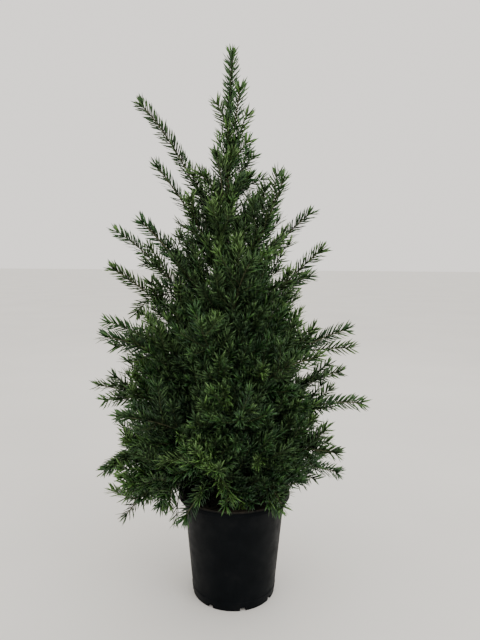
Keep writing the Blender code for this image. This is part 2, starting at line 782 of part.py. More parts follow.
main()
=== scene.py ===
import math
import random
from dataclasses import dataclass
from itertools import product

import bmesh
import bpy
import numpy as np
from mathutils import Matrix, Vector, kdtree, noise


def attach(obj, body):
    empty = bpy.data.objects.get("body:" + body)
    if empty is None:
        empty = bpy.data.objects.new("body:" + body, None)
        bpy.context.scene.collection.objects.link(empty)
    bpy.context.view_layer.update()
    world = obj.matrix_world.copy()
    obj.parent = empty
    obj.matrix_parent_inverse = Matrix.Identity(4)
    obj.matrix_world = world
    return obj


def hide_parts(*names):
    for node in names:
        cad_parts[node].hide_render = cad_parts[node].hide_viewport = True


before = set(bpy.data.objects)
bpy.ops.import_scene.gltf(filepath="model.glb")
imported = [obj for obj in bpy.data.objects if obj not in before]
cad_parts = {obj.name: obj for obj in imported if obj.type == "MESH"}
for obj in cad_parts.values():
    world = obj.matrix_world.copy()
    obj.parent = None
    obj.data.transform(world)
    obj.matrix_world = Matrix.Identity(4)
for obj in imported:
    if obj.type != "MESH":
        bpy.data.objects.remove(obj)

# The trunk, the limbs and the pot repeat the part's own sizes, in metres and degrees, with +Z up.
PLANT_TOP = 0.942
POT_HEIGHT = 0.189
POT_FOOT_RADIUS = 0.0740
POT_TOP_RADIUS = 0.0915
POT_WALL = 0.0018
LIP_RADIUS = 0.0997
LIP_HEIGHT = 0.0100
LIP_WALL = 0.0016
FOOT_RING_WIDTH = 0.0085
FLOOR_RECESS = 0.0030
FLOOR_DISC_RADIUS = 0.0160
SOIL_EDGE_HEIGHT = 0.1655
SOIL_HEIGHT = 0.1690
TRUNK_FOOT_X = -0.0050
TRUNK_LEAN = -0.0030
TRUNK_BOW = -0.0095
TRUNK_SWAY = 0.0040
TRUNK_TOP = 0.8000
TRUNK_RADII = (0.0078, 0.0021)
TRUNK_TAPER_POWER = 0.85
FLARE_RADIUS = 0.0062
FLARE_HEIGHT = 0.0130
FLARE_RIDGES = 5
FLARE_RIDGE_DEPTH = 0.25
BOUGH_SHARE = 0.25
BOUGH_ROOT_RADIUS = 0.0036
BOUGH_TIP_RADIUS = 0.0020
THINNEST_BOUGH = 0.75
LONG_REACH = 0.220
COLLAR_RADIUS = 0.0018
COLLAR_REACH = 0.0080
STEM_RADII = (0.0017, 0.0008)
SWERVE = 6.0
SWERVE_RATE = 400.0
SHOOT_SPACING = 0.030
FIRST_SHOOT = 0.012
SHOOT_LENGTH = 0.084
SHOOT_LENGTH_LOSS = 0.30
SHOOT_LENGTH_SPREAD = (0.88, 1.08)
SHOOT_ANGLE = (37.0, 51.0)
SHOOT_SPIN = (-40.0, 40.0)
SHOOT_ROLL = (-50.0, 50.0)
SHOOT_LIFT = (0.004, 0.014)
SHOOT_AHEAD = 0.08
TIP_SHOOT = 0.080
TIP_SHOOT_BARE = 0.55
TIP_SHOOT_ROLL = (25.0, 65.0)
CORE_DRAWS = 18
LIMB_POINTS = 60
STEM_POINTS = 40
LEADER_POINTS = 22

# Rows of limbs as in the part: height on the trunk, azimuth, reach, height of the tip, bow
BOUGHS = (
    (0.182, 203, 0.195, 0.160, 0.055),
    (0.186, 8, 0.206, 0.204, 0.030),
    (0.200, 152, 0.215, 0.262, 0.022),
    (0.212, 338, 0.200, 0.278, 0.024),
    (0.218, 186, 0.224, 0.225, 0.032),
    (0.226, 42, 0.215, 0.290, 0.026),
    (0.238, 214, 0.206, 0.350, 0.018),
    (0.246, 118, 0.220, 0.348, 0.020),
    (0.250, 352, 0.237, 0.353, 0.034),
    (0.258, 276, 0.188, 0.368, 0.018),
    (0.268, 178, 0.244, 0.371, 0.022),
    (0.277, 68, 0.222, 0.400, 0.018),
    (0.292, 13, 0.216, 0.392, 0.022),
    (0.316, 196, 0.221, 0.468, 0.034),
    (0.326, 322, 0.190, 0.450, 0.016),
    (0.334, 138, 0.212, 0.480, 0.016),
    (0.342, 0, 0.214, 0.478, 0.022),
    (0.372, 188, 0.202, 0.583, 0.022),
    (0.418, 165, 0.221, 0.651, 0.024),
)
SPURS = (
    (0.180, 268, 0.145, 0.215, 0.020),
    (0.191, 236, 0.136, 0.174, 0.040),
    (0.190, 306, 0.152, 0.200, 0.034),
    (0.192, 84, 0.208, 0.228, 0.030),
    (0.208, 248, 0.168, 0.280, 0.026),
    (0.355, 256, 0.150, 0.500, 0.010),
    (0.385, 78, 0.172, 0.565, 0.012),
    (0.430, 345, 0.168, 0.617, 0.014),
    (0.450, 292, 0.120, 0.600, 0.008),
    (0.455, 207, 0.158, 0.660, 0.020),
    (0.475, 12, 0.156, 0.683, 0.022),
    (0.520, 112, 0.115, 0.700, 0.010),
    (0.535, 335, 0.107, 0.737, -0.020),
    (0.565, 205, 0.128, 0.750, 0.012),
    (0.600, 172, 0.156, 0.864, 0.030),
    (0.630, 255, 0.062, 0.770, 0.004),
    (0.665, 48, 0.058, 0.790, 0.004),
    (0.720, 340, 0.024, 0.886, 0.004),
)

# Forks that stand out of the crown beside their limb's own tip. Each was placed on the photo,
# and its row worked out with the camera below: number of the limb, share of it at the fork, heading,
# climb, length, and the bow if it is unusual
FORKS = (
    (29, 0.56, 190, 64, 0.049, 0.002), (19, 0.49, 172, 57, 0.085),
    (14, 0.50, 180, 34, 0.129, 0.012), (16, 0.90, 175, 30, 0.050),
    (11, 0.71, 170, 42, 0.055, 0.004), (11, 0.55, 196, 6, 0.073, 0.004),
    (7, 0.86, 180, 9, 0.040, 0.002), (5, 0.50, 173, 4, 0.085, 0.006),
    (5, 0.66, 195, -9, 0.066, 0.006), (1, 0.61, 168, -31, 0.080, 0.006),
    (1, 0.56, 200, -72, 0.058, 0.002), (32, 0.56, 0, 84, 0.100, 0.002),
    (32, 0.76, 0, 81, 0.074), (27, 0.58, 10, 19, 0.060, 0.002),
    (17, 0.50, 3, 7, 0.117), (17, 0.56, 340, 56, 0.058, 0.002),
    (13, 0.69, 5, 43, 0.054), (9, 0.63, 15, 48, 0.050),
    (4, 0.66, 350, 46, 0.062), (4, 0.71, 10, 20, 0.046, 0.002),
    (22, 0.60, 285, -38, 0.052, 0.002), (37, 0.41, 180, 66, 0.078, 0.002),
    (36, 0.56, 10, 55, 0.054, 0.002), (19, 0.56, 180, 28, 0.048),
    (18, 0.65, 180, -42, 0.046), (14, 0.63, 180, 8, 0.069),
    (11, 0.62, 180, 22, 0.070), (5, 0.64, 180, -22, 0.099),
    (22, 0.54, 312, -41, 0.064), (22, 0.20, 247, -48, 0.042, 0.002),
    (2, 0.16, 292, -53, 0.063), (2, 0.32, 325, -49, 0.063),
    (1, 0.51, 216, -72, 0.065), (1, 0.46, 225, -80, 0.093),
    (1, 0.58, 215, -70, 0.060), (1, 0.64, 189, -1, 0.074),
    (1, 0.64, 180, -24, 0.075), (1, 0.68, 180, -49, 0.052),
    (5, 0.64, 180, -16, 0.074), (11, 0.60, 180, -4, 0.087),
    (37, 0.14, 342, 55, 0.067), (37, 0.28, 339, 66, 0.078),
    (35, 0.43, 195, 48, 0.067), (36, 0.28, 348, 30, 0.068),
    (36, 0.26, 326, 43, 0.059),
)

# Light sprays inside the outline that face the viewer, in the same form; their lighter tones are painted
# light
LIGHT_SPRAYS = (
    (28, 0.12, 257, 23, 0.099), (18, 0.40, 275, 52, 0.104),
    (24, 0.55, 213, 9, 0.098), (20, 0.45, 338, -51, 0.052, 0.002),
    (7, 0.45, 270, 14, 0.088), (4, 0.35, 257, 13, 0.102),
    (34, 0.30, 254, 51, 0.058), (35, 0.25, 292, 46, 0.054),
    (24, 0.35, 276, -23, 0.068), (15, 0.30, 280, 30, 0.108),
    (25, 0.45, 290, -38, 0.092), (24, 0.53, 314, -50, 0.075),
    (5, 0.47, 272, -57, 0.066),
)
FORK_BOW = 0.003
RULED_FORK_BOW = 0.004

# Other limbs that point to the front or the back get a fork by rule
FORK_SIDE = 0.60
FORK_SHARE = (0.55, 0.70)
FORK_TURN = (18.0, 34.0)
FORK_RISE = (0.0, 20.0)
FORK_LENGTH = (0.055, 0.095)

# The dense body of the crown, which only the limbs' tips stand out of
BODY_RADIUS = 0.179
BODY_SHIFT = -0.012
BODY_SHIFT_END = (0.40, 0.50)
BODY_WIDEST = 0.300
BODY_TOP = 0.885
BODY_POWER = 1.15
BODY_LEAST = 0.008
BODY_LUMPS = (15.0, 15.0, 8.0)
LUMPS_PLACE = (11.1, 17.0, 8.7)
BODY_SHARES = (0.40, 1.16)
BODY_NECK = (0.695, 0.735)
NECK_SHARE = 0.45
COLUMN_RADIUS = 0.021
COLUMN_END = (0.790, 0.850)
BODY_FOOT = 0.197
FRONT_RISE = 0.42
RIGHT_FOOT = (-0.02, 0.03)
RIGHT_FOOT_END = (0.07, 0.10)
RIGHT_DROP = 0.012
MOUTH_RISE = 0.016
MOUTH_START = (-0.080, -0.060)
MOUTH_END = (-0.030, -0.012)
MOUTH_DEPTH = 0.060
SKIRT_START = (0.085, 0.120)
SKIRT_DROP = 0.032
FOOT_MARGIN = 0.006
MOUTH_VIEW = (-0.065, -0.004)
LIMB_NEAR = 0.046

# Finer growth than the solids have: side twigs between their shoots, and twigs on the trunk
FINE_SEED = 1000
TONE_SEED = 1500
FORK_SEED = 1700
FILL_SEED = 1900
FINE_START = 0.006
FINE_END = 0.030
FINE_SPACING = 0.015
SPACING_SPREAD = (0.75, 1.25)
FINE_LENGTH = 0.074
FINE_LENGTH_LOSS = 0.35
FINE_LENGTH_SPREAD = (0.60, 1.15)
FINE_ANGLE = (38.0, 58.0)
FINE_OVER = 0.80
FINE_ROLL = (-60.0, 60.0)
FINE_LIFT = (0.006, 0.018)
TRUNK_TWIG_SPACING = 0.0080
TRUNK_SPACING_SPREAD = (0.70, 1.30)
TRUNK_TWIG_LENGTH = 0.060
TRUNK_LENGTH_SPREAD = (0.65, 1.15)
TRUNK_TWIG_RISE = (0.60, 0.90)
TRUNK_TWIG_LIFT = 0.006
TRUNK_TWIG_START = 0.205
TRUNK_TWIG_RUN = 0.600
WOOD_START = (0.020, 0.200)
LEADER_START = 0.740
TIP_SHORT = 0.008

# How far beyond the body the twigs may reach, as shares of its radius
SOURCE_LIMITS = (1.00, 1.28)
FINE_LIMITS = (0.94, 1.14)
FILL_LIMITS = (0.95, 1.08)

# Twigs that fill the body, each from a stem so far into an empty place
FILL_ROUNDS = 4
FILL_GRID = 0.0150
FILL_CLEAR = (0.0150, 0.0195)
AIRY = (0.42, 0.62)
FILL_LENGTHS = (0.035, 0.062, 0.110)
FILL_LEAN = (0.5, 1.8)
LEAN_END = 0.600
FILL_PULL = 0.050
LEAST_AHEAD = 0.50
LEAST_OUTWARD = 0.40
FILL_LIFT = (0.0, 0.010)
FILL_ROLL = (-70.0, 70.0)
FILL_BEYOND = 0.010

# Stems: how they turn and end, what they keep clear of, and their radii
SHORTEST = 0.028
GOLDEN_ANGLE = math.radians(137.5)
TIP_ROOM = 0.010
PATH_STEP = 0.010
FINE_STEP = 0.006
ROOM_STEP = 0.004
WALL_CLEAR = 0.0020
LIP_CLEAR = 0.0015
SOIL_CLEAR = 0.0010
FLOOR_CLEAR = 0.0040
TWIG_RADII = (0.00115, 0.00055)
TWIG_RADIUS_LOSS = 0.0002
TWIG_FLAT = 0.60
FORK_RADII = (0.0012, 0.0007)
LEADER_RADII = (0.0021, 0.0008)
BARE_START = 0.003
BARE_FOOT = 0.004
OLD_WOOD = 0.35

# Needles
NEEDLE_SEED = 7
NEEDLE_PITCH = 0.0017
AXIS_PITCH = 0.0013
LEADER_PITCH = 0.0007
LEADER_FLAT = 0.40
INNER_PITCH = 0.0030
INNER_DEPTH = 0.45
NEEDLE_LENGTH = 0.0202
NEEDLE_WIDTH = 0.0024
NEEDLE_THICKNESS = 0.0005
LENGTH_SPREAD = (0.84, 1.10)
FOOT_SHORTER = 0.20
FOOT_LENGTH = 0.020
TIP_SHORTER = 0.14
TIP_LENGTH = 0.018
NEEDLE_ANGLE = 52.0
NEEDLE_WANDER = (-10.0, 10.0)
TIP_CLOSING = 14.0
NEEDLE_SWEEP = 0.42
PITCH_JITTER = 0.60
TURN_JITTER = (-0.30, 0.30)
TANGENT_STEP = 0.004
CROWN_MIDDLE = 0.500
TO_LIGHT = 0.20
TO_PLANE = 0.60
TO_CHANCE = 0.50
CURVE_AHEAD = 0.20
CURVE_ASIDE = 0.08
AXIS_ROLL = (50.0, 90.0)
AXIS_FLAT = 0.60
TONE_STEP = 0.22
NEEDLE_FOOT_WIDTH = 0.80
NEEDLE_WIDEST = 0.70
TUFT = (10, 5, 4)
TUFT_DEPTH = 0.007
MOST_NEEDLES = 16000

# Tones of the sprays, by number, and what makes a spray darker or lighter: a random part, painted shade
# deep in the crown, in its hollows and on the lowest limbs, and painted light near its top and on the light
# sprays
TONES = ("deep", "dark", "green", "fresh", "bright")
LEAST_SHADE = 0.28
CHANCE_SHADE = 0.60
DEPTH_SHADE = 0.70
HOLLOW_SHADE = 2.00
TOP_LIGHT = 0.60
SPRAY_TONES = (
    (0.03, (2, 3, 4)),
    (0.26, (2, 2, 3)),
    (0.75, (1, 2, 2)),
    (1.10, (1, 1, 2)),
    (math.inf, (0, 0, 1)),
)
TONE_ENDS = (0.012, 0.030)
USUAL_TONES = (1, 2, 2)
FRESH_TONES = (2, 2, 3)
FRESH_AXES = 0.4
# Painted shade: the sprays of limbs whose tips hang below SHADED_TIP take these darker tones
SHADED_TONES = (0, 0, 2)
SHADED_TIP = 0.180
FORK_TONES = ((1, 2, 3), (1, 2, 2), (2, 2, 3), (2, 3, 3))
# Painted light: the light sprays that face the viewer take these lighter tones
LIGHT_TONES = ((3, 3, 4), (3, 4, 4))

# Camera, as the photo was taken
CAMERA_PLACE = (0.02245, -0.93360, 0.59074)
CAMERA_PITCH = 6.096
CAMERA_YAW = -0.876
CAMERA_ROLL = -0.413
IMAGE_HEIGHT = 640
FOCAL_PIXELS = 540.0
SENSOR = 36.0
CLIP_START = 0.02

UP = np.array((0.0, 0.0, 1.0))
NUDGE = np.array((1e-4, 0.0, 0.0))
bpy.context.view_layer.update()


def unit(vector):
    return vector / np.linalg.norm(vector)


def units(rows):
    return rows / np.maximum(np.linalg.norm(rows, axis=1), 1e-12)[:, None]


def between(ends, share):
    return ends[0] + (ends[1] - ends[0]) * share


def placed(name, data):
    piece = bpy.data.objects.new(name, data)
    bpy.context.scene.collection.objects.link(piece)
    return piece


def new_object(name, points, faces, finishes, slots=None):
    mesh = bpy.data.meshes.new(name)
    mesh.from_pydata(np.asarray(points, dtype=float).tolist(), [], faces)
    for finish in finishes:
        mesh.materials.append(finish)
    if slots is not None:
        mesh.polygons.foreach_set("material_index", slots)
    return placed(name, mesh)


def circle(radius, height, sides):
    turns = [2 * math.pi * side / sides for side in range(sides)]
    return [(radius * math.cos(turn), radius * math.sin(turn), height) for turn in turns]


def tube(low, sides, rings):
    """Faces between rings of points that follow each other from index low."""
    faces = []
    for start in range(low, low + (rings - 1) * sides, sides):
        for side in range(sides):
            after = (side + 1) % sides
            faces.append((start + side, start + after, start + sides + after, start + sides + side))
    return faces


def face_outward(piece):
    shape = bmesh.new()
    shape.from_mesh(piece.data)
    bmesh.ops.recalc_face_normals(shape, faces=shape.faces)
    shape.to_mesh(piece.data)
    shape.free()


def smooth(piece, crease):
    piece.data.shade_smooth()
    piece.data.set_sharp_from_angle(angle=math.radians(crease))


def belongs(piece, nodes):
    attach(piece, "root")
    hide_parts(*nodes)


# Materials
NOISE_RANGE = (0.25, 0.75)


class Finish:
    """A Principled material and short ways to add nodes to it."""

    def __init__(self, name, colour, roughness, shine=0.5):
        self.material = bpy.data.materials.new(name)
        self.material.use_nodes = True
        self.tree = self.material.node_tree
        self.shader = self.tree.nodes["Principled BSDF"]
        values = {"Base Color": (*colour, 1.0), "Roughness": roughness, "Specular IOR Level": shine}
        for socket, value in values.items():
            self.shader.inputs[socket].default_value = value
        self.place = self.tree.nodes.new("ShaderNodeTexCoord").outputs["Object"]

    def added(self, kind, output, links, values):
        """An output of a new node that has these links and values on its sockets."""
        node = self.tree.nodes.new(f"ShaderNode{kind}")
        for socket, value in values.items():
            node.inputs[socket].default_value = value
        for socket, value in links.items():
            self.tree.links.new(value, node.inputs[socket])
        return node.outputs[output]

    def stretched(self, scale):
        return self.added("Mapping", "Vector", {"Vector": self.place}, {"Scale": scale})

    def noise(self, scale, detail=3.0, rough=0.55, place=None):
        values = {"Scale": scale, "Detail": detail, "Roughness": rough}
        return self.added("TexNoise", "Fac", {"Vector": place or self.place}, values)

    def cells(self, scale, place):
        return self.added("TexVoronoi", "Distance", {"Vector": place}, {"Scale": scale})

    def ramp(self, value, stops):
        node = self.tree.nodes.new("ShaderNodeValToRGB")
        elements = node.color_ramp.elements
        while len(elements) < len(stops):
            elements.new(0.5)
        for element, (position, colour) in zip(elements, stops):
            element.position = position
            element.color = (*colour, 1.0)
        self.tree.links.new(value, node.inputs["Fac"])
        return node.outputs["Color"]

    def mapped(self, value, start, end, low, high):
        values = {"From Min": start, "From Max": end, "To Min": low, "To Max": high}
        return self.added("MapRange", "Result", {"Value": value}, values)

    def between(self, value, low, high):
        """A noise value spread over the range from low to high."""
        return self.mapped(value, *NOISE_RANGE, low, high)

    def above(self, low, high):
        """A share that rises from 0 to 1 between two heights."""
        height = self.added("SeparateXYZ", "Z", {"Vector": self.place}, {})
        return self.mapped(height, low, high, 0.0, 1.0)

    def mixed(self, share, first, second):
        node = self.tree.nodes.new("ShaderNodeMix")
        node.data_type = "RGBA"
        for socket, value in (("Factor", share), ("A", first), ("B", second)):
            self.tree.links.new(value, node.inputs[socket])
        return node.outputs["Result"]

    def set(self, socket, value):
        self.tree.links.new(value, self.shader.inputs[socket])

    def bump(self, height, strength, distance):
        values = {"Strength": strength, "Distance": distance}
        self.set("Normal", self.added("Bump", "Normal", {"Height": height}, values))


def pot_finish():
    """Blue-black recycled plastic, dusty in patches, with a fine moulded grain."""
    finish = Finish("pot_plastic", (0.012, 0.015, 0.020), 0.45, 0.04)
    dust = finish.noise(26.0, 5.0, 0.62)
    plastic = finish.ramp(dust, (
        (0.30, (0.0014, 0.0022, 0.0030)),
        (0.55, (0.0026, 0.0036, 0.0047)),
        (0.80, (0.0068, 0.0074, 0.0082)),
    ))
    dusty = finish.ramp(finish.noise(70.0, 5.0, 0.65), (
        (0.35, (0.0060, 0.0062, 0.0060)),
        (0.65, (0.0330, 0.0285, 0.0220)),
    ))
    finish.set("Base Color", finish.mixed(finish.above(POT_HEIGHT - 0.004, POT_HEIGHT), plastic, dusty))
    finish.set("Roughness", finish.between(finish.noise(60.0, 4.0), 0.36, 0.58))
    finish.bump(finish.noise(900.0, 2.0, 0.5), 0.25, 0.0004)
    return finish.material


def soil_finish():
    finish = Finish("potting_soil", (0.055, 0.038, 0.027), 0.95, 0.2)
    grain = finish.noise(150.0, 6.0, 0.7)
    finish.set("Base Color", finish.ramp(grain, (
        (0.25, (0.0085, 0.0070, 0.0055)),
        (0.52, (0.0240, 0.0190, 0.0145)),
        (0.75, (0.0620, 0.0490, 0.0370)),
    )))
    finish.set("Roughness", finish.between(grain, 0.85, 1.0))
    finish.bump(grain, 0.8, 0.0015)
    return finish.material


def bark_finish():
    """Thin scaly bark: brown with reddish patches where scales have come away."""
    finish = Finish("bark", (0.135, 0.085, 0.055), 0.85, 0.25)
    along = finish.stretched((1.0, 1.0, 0.22))
    scales = finish.cells(260.0, along)
    patches = finish.noise(95.0, 5.0, 0.6, along)
    brown = finish.ramp(scales, (
        (0.05, (0.042, 0.026, 0.018)),
        (0.35, (0.120, 0.076, 0.050)),
        (0.85, (0.190, 0.128, 0.088)),
    ))
    red = finish.ramp(scales, (
        (0.10, (0.058, 0.028, 0.019)),
        (0.70, (0.140, 0.072, 0.047)),
    ))
    finish.set("Base Color", finish.mixed(finish.between(patches, 0.0, 1.0), brown, red))
    finish.set("Roughness", finish.between(patches, 0.72, 0.95))
    finish.bump(scales, 0.6, 0.0006)
    return finish.material


def twig_finish(name, dark, light):
    finish = Finish(name, light, 0.6, 0.3)
    streaks = finish.noise(420.0, 4.0, 0.6, finish.stretched((1.0, 1.0, 0.4)))
    finish.set("Base Color", finish.ramp(streaks, ((0.35, dark), (0.65, light))))
    finish.set("Roughness", finish.between(streaks, 0.5, 0.75))
    finish.bump(streaks, 0.4, 0.0003)
    return finish.material


# Needle tones, upper side and underside. The deep and dark tones also serve as painted shade, and the fresh
# and bright tones as painted light, where the sprays are dealt their tones.
NEEDLE_COLOURS = {
    "deep": ((0.0135, 0.0400, 0.0150), (0.030, 0.066, 0.026)),
    "dark": ((0.0190, 0.0600, 0.0190), (0.044, 0.094, 0.034)),
    "green": ((0.0300, 0.0900, 0.0230), (0.064, 0.130, 0.042)),
    "fresh": ((0.0560, 0.1440, 0.0310), (0.094, 0.180, 0.056)),
    "bright": ((0.1050, 0.2200, 0.0480), (0.140, 0.250, 0.080)),
}


def needle_finish(name, colour, roughness, shine):
    """Leathery needle: one plain colour, with a waxy sheen that varies along the blade."""
    finish = Finish(name, colour, roughness, shine)
    wax = finish.noise(330.0, 2.0, 0.5)
    finish.set("Roughness", finish.between(wax, roughness - 0.08, roughness + 0.10))
    finish.bump(wax, 0.15, 0.0002)
    return finish.material


# Pot and soil
ROUNDING_STEPS = 3


def wall_radius(height):
    return POT_FOOT_RADIUS + (POT_TOP_RADIUS - POT_FOOT_RADIUS) * height / POT_HEIGHT


def turned(name, profile, sides, finish):
    """A solid of revolution from (radius, height) points that run round the section."""
    points = []
    rings = []
    for radius, height in profile:
        if radius == 0.0:
            rings.append([len(points)] * sides)
            points.append((0.0, 0.0, height))
            continue
        rings.append(list(range(len(points), len(points) + sides)))
        points.extend(circle(radius, height, sides))
    faces = []
    for lower, upper in zip(rings, rings[1:]):
        for side in range(sides):
            after = (side + 1) % sides
            corners = (lower[side], lower[after], upper[after], upper[side])
            faces.append(tuple(dict.fromkeys(corners)))
    piece = new_object(name, points, faces, [finish])
    face_outward(piece)
    return piece


def rounded(corner, before, after, radius):
    """Points of an arc that rounds one corner of a profile."""
    corner, before, after = Vector(corner), Vector(before), Vector(after)
    start = corner + (before - corner).normalized() * radius
    end = corner + (after - corner).normalized() * radius
    points = []
    for step in range(ROUNDING_STEPS + 1):
        share = step / ROUNDING_STEPS
        points.append(tuple((1 - share) ** 2 * start + 2 * share * (1 - share) * corner + share ** 2 * end))
    return points


def rounded_profile(corners):
    """A profile whose corners, each (radius, height, rounding), are rounded."""
    profile = []
    for index, (radius, height, rounding) in enumerate(corners):
        if rounding == 0.0:
            profile.append((radius, height))
            continue
        profile.extend(rounded((radius, height), corners[index - 1][:2], corners[index + 1][:2], rounding))
    return profile


POT_SIDES = 120
POT_CREASE = 32.0

# Drain slots in the lower corner and holes in the floor: count, turn, radius, half sizes, sides
DRAINS = (
    (8, 0.31, POT_FOOT_RADIUS, (0.0080, 0.0050, 0.0060), 4),
    (4, 0.40, 0.0450, (0.0045, 0.0045, 0.0096), 16),
)
LOWER_BAND = 0.0155
UPPER_BAND = 0.1600
BAND_STEP = 0.0005
LIP_BEAD = 0.0042


def make_pot():
    under_lip = POT_HEIGHT - LIP_WALL
    lip_foot = POT_HEIGHT - LIP_HEIGHT
    inner_floor = FLOOR_RECESS + POT_WALL
    recess_edge = POT_FOOT_RADIUS - FOOT_RING_WIDTH
    corners = [
        (0.0, 0.0, 0.0),
        (FLOOR_DISC_RADIUS, 0.0, 0.0005),
        (FLOOR_DISC_RADIUS + 0.001, FLOOR_RECESS, 0.0005),
        (recess_edge, FLOOR_RECESS, 0.0005),
        (recess_edge + 0.001, 0.0, 0.0005),
        (POT_FOOT_RADIUS - 0.0002, 0.0, 0.0014),
        (wall_radius(LOWER_BAND) + 0.0002, LOWER_BAND, 0.0),
        (wall_radius(LOWER_BAND + 0.0008) - BAND_STEP, LOWER_BAND + 0.0008, 0.0),
        (wall_radius(UPPER_BAND) - BAND_STEP, UPPER_BAND, 0.0),
        (wall_radius(UPPER_BAND + 0.001), UPPER_BAND + 0.001, 0.0),
        (wall_radius(under_lip), under_lip, 0.0004),
        (LIP_RADIUS - LIP_WALL, under_lip, 0.0003),
        (LIP_RADIUS - LIP_WALL, lip_foot, 0.0004),
        (LIP_RADIUS, lip_foot, 0.0004),
        (LIP_RADIUS - 0.0003, POT_HEIGHT - LIP_BEAD - 0.0004, 0.0),
        (LIP_RADIUS - 0.0008, POT_HEIGHT - LIP_BEAD, 0.0),
        (LIP_RADIUS - 0.0008, POT_HEIGHT, 0.0008),
        (wall_radius(POT_HEIGHT) - POT_WALL, POT_HEIGHT, 0.0008),
        (wall_radius(inner_floor) - POT_WALL, inner_floor, 0.0020),
        (0.0, inner_floor, 0.0),
    ]
    pot = turned("nursery_pot", rounded_profile(corners), POT_SIDES, pot_finish())
    for count, turn, radius, half, sides in DRAINS:
        for number in range(count):
            cut(pot, radius, 2 * math.pi * (number + turn) / count, half, sides)
    smooth(pot, POT_CREASE)
    belongs(pot, ["pot"])


def cut(pot, radius, turn, half, sides):
    """Cut a block (4 sides) or a round hole through the pot's foot."""
    shape = bmesh.new()
    bmesh.ops.create_cone(
        shape, cap_ends=True, segments=sides, radius1=1.0, radius2=1.0, depth=2.0,
        matrix=Matrix.Rotation(math.pi / sides, 4, "Z"),
    )
    grown = 1 / math.cos(math.pi / sides) if sides == 4 else 1.0
    stretch = Vector((half[0] * grown, half[1] * grown, half[2]))
    for point in shape.verts:
        point.co = point.co * stretch
    shape.transform(Matrix.Rotation(turn, 4, "Z") @ Matrix.Translation((radius, 0.0, 0.0)))
    mesh = bpy.data.meshes.new("cutter")
    shape.to_mesh(mesh)
    shape.free()
    cutter = placed("cutter", mesh)
    boolean = pot.modifiers.new("cut", "BOOLEAN")
    boolean.operation = "DIFFERENCE"
    boolean.solver = "EXACT"
    boolean.object = cutter
    view = bpy.context.evaluated_depsgraph_get()
    pot.data = bpy.data.meshes.new_from_object(pot.evaluated_get(view))
    pot.modifiers.clear()
    bpy.data.objects.remove(cutter)


SOIL_SIDES = 144
SOIL_RINGS = 46
SOIL_CREASE = 50.0
SOIL_DIP = 0.0008
SOIL_LUMPS = (70.0, 0.0011)
SOIL_GRAINS = (330.0, 0.0007)
SOIL_GAP = 0.0005
SOIL_FOOT_GAP = 0.0003
CRUMBS = 900
CRUMB_SEED = 51
CRUMB_MARGIN = 0.003
CRUMB_RISE = 0.2
CRUMB_SIZE = (0.0006, 0.0019)
CRUMB_STRETCH = ((1.0, 2.2), (0.6, 1.1), (0.35, 0.8))
CRUMB_TILT = (-0.5, 0.5)
CRUMB_JITTER = (0.75, 1.2)


def soil_height(x, y):
    """The soil's top: a low crown towards the stem, with lumps and grains."""
    edge = wall_radius(SOIL_EDGE_HEIGHT)
    share = min(math.hypot(x, y) / edge, 1.0)
    crown = SOIL_EDGE_HEIGHT + (SOIL_HEIGHT - SOIL_DIP - SOIL_EDGE_HEIGHT) * (1 - share ** 2)
    lumps = noise.noise(Vector((x, y, 0.0)) * SOIL_LUMPS[0]) * SOIL_LUMPS[1]
    grains = noise.noise(Vector((x, y, 5.0)) * SOIL_GRAINS[0]) * SOIL_GRAINS[1]
    return crown + lumps + grains


def make_soil():
    foot_height = FLOOR_RECESS + POT_WALL + SOIL_FOOT_GAP
    edge = wall_radius(SOIL_EDGE_HEIGHT) - POT_WALL - SOIL_GAP
    points = [(0.0, 0.0, soil_height(0.0, 0.0))]
    for ring in range(1, SOIL_RINGS + 1):
        for x, y, _ in circle(edge * ring / SOIL_RINGS, 0.0, SOIL_SIDES):
            points.append((x, y, soil_height(x, y)))
    foot = len(points)
    points.extend(circle(wall_radius(foot_height) - POT_WALL - SOIL_GAP, foot_height, SOIL_SIDES))
    faces = tube(1, SOIL_SIDES, SOIL_RINGS + 1)
    faces.extend((0, 1 + (side + 1) % SOIL_SIDES, 1 + side) for side in range(SOIL_SIDES))
    faces.append(tuple(range(foot, foot + SOIL_SIDES)))
    add_crumbs(points, faces, edge)
    soil = new_object("peat_soil", points, faces, [soil_finish()])
    face_outward(soil)
    smooth(soil, SOIL_CREASE)
    belongs(soil, ["soil"])


def add_crumbs(points, faces, edge):
    """Small lumps and flat flakes of peat that lie half sunk in the soil."""
    chance = random.Random(CRUMB_SEED)
    for _ in range(CRUMBS):
        angle = chance.uniform(0, 2 * math.pi)
        radius = (edge - CRUMB_MARGIN) * math.sqrt(chance.random())
        x, y = radius * math.cos(angle), radius * math.sin(angle)
        size = chance.uniform(*CRUMB_SIZE)
        centre = Vector((x, y, soil_height(x, y) + size * CRUMB_RISE))
        turn = Matrix.Rotation(chance.uniform(0, math.pi), 3, "Z")
        turn = turn @ Matrix.Rotation(chance.uniform(*CRUMB_TILT), 3, "X")
        stretch = [chance.uniform(*spread) for spread in CRUMB_STRETCH]
        low = len(points)
        for corner in ((1, 0, 0), (0, 1, 0), (-1, 0, 0), (0, -1, 0), (0, 0, 1), (0, 0, -1)):
            jitter = chance.uniform(*CRUMB_JITTER)
            offset = turn @ Vector([c * s * size * jitter for c, s in zip(corner, stretch)])
            points.append(tuple(centre + offset))
        for side in range(4):
            after = (side + 1) % 4
            faces.append((low + side, low + after, low + 4))
            faces.append((low + after, low + side, low + 5))


# Lines of the trunk and the limbs, by the part's own rule
def trunk_centre(height):
    share = (height - SOIL_HEIGHT) / (PLANT_TOP - SOIL_HEIGHT)
    x = TRUNK_FOOT_X + TRUNK_LEAN * share + TRUNK_BOW * math.sin(math.pi * share)
    y = TRUNK_SWAY * math.sin(2 * math.pi * share)
    return np.array((x, y, height))


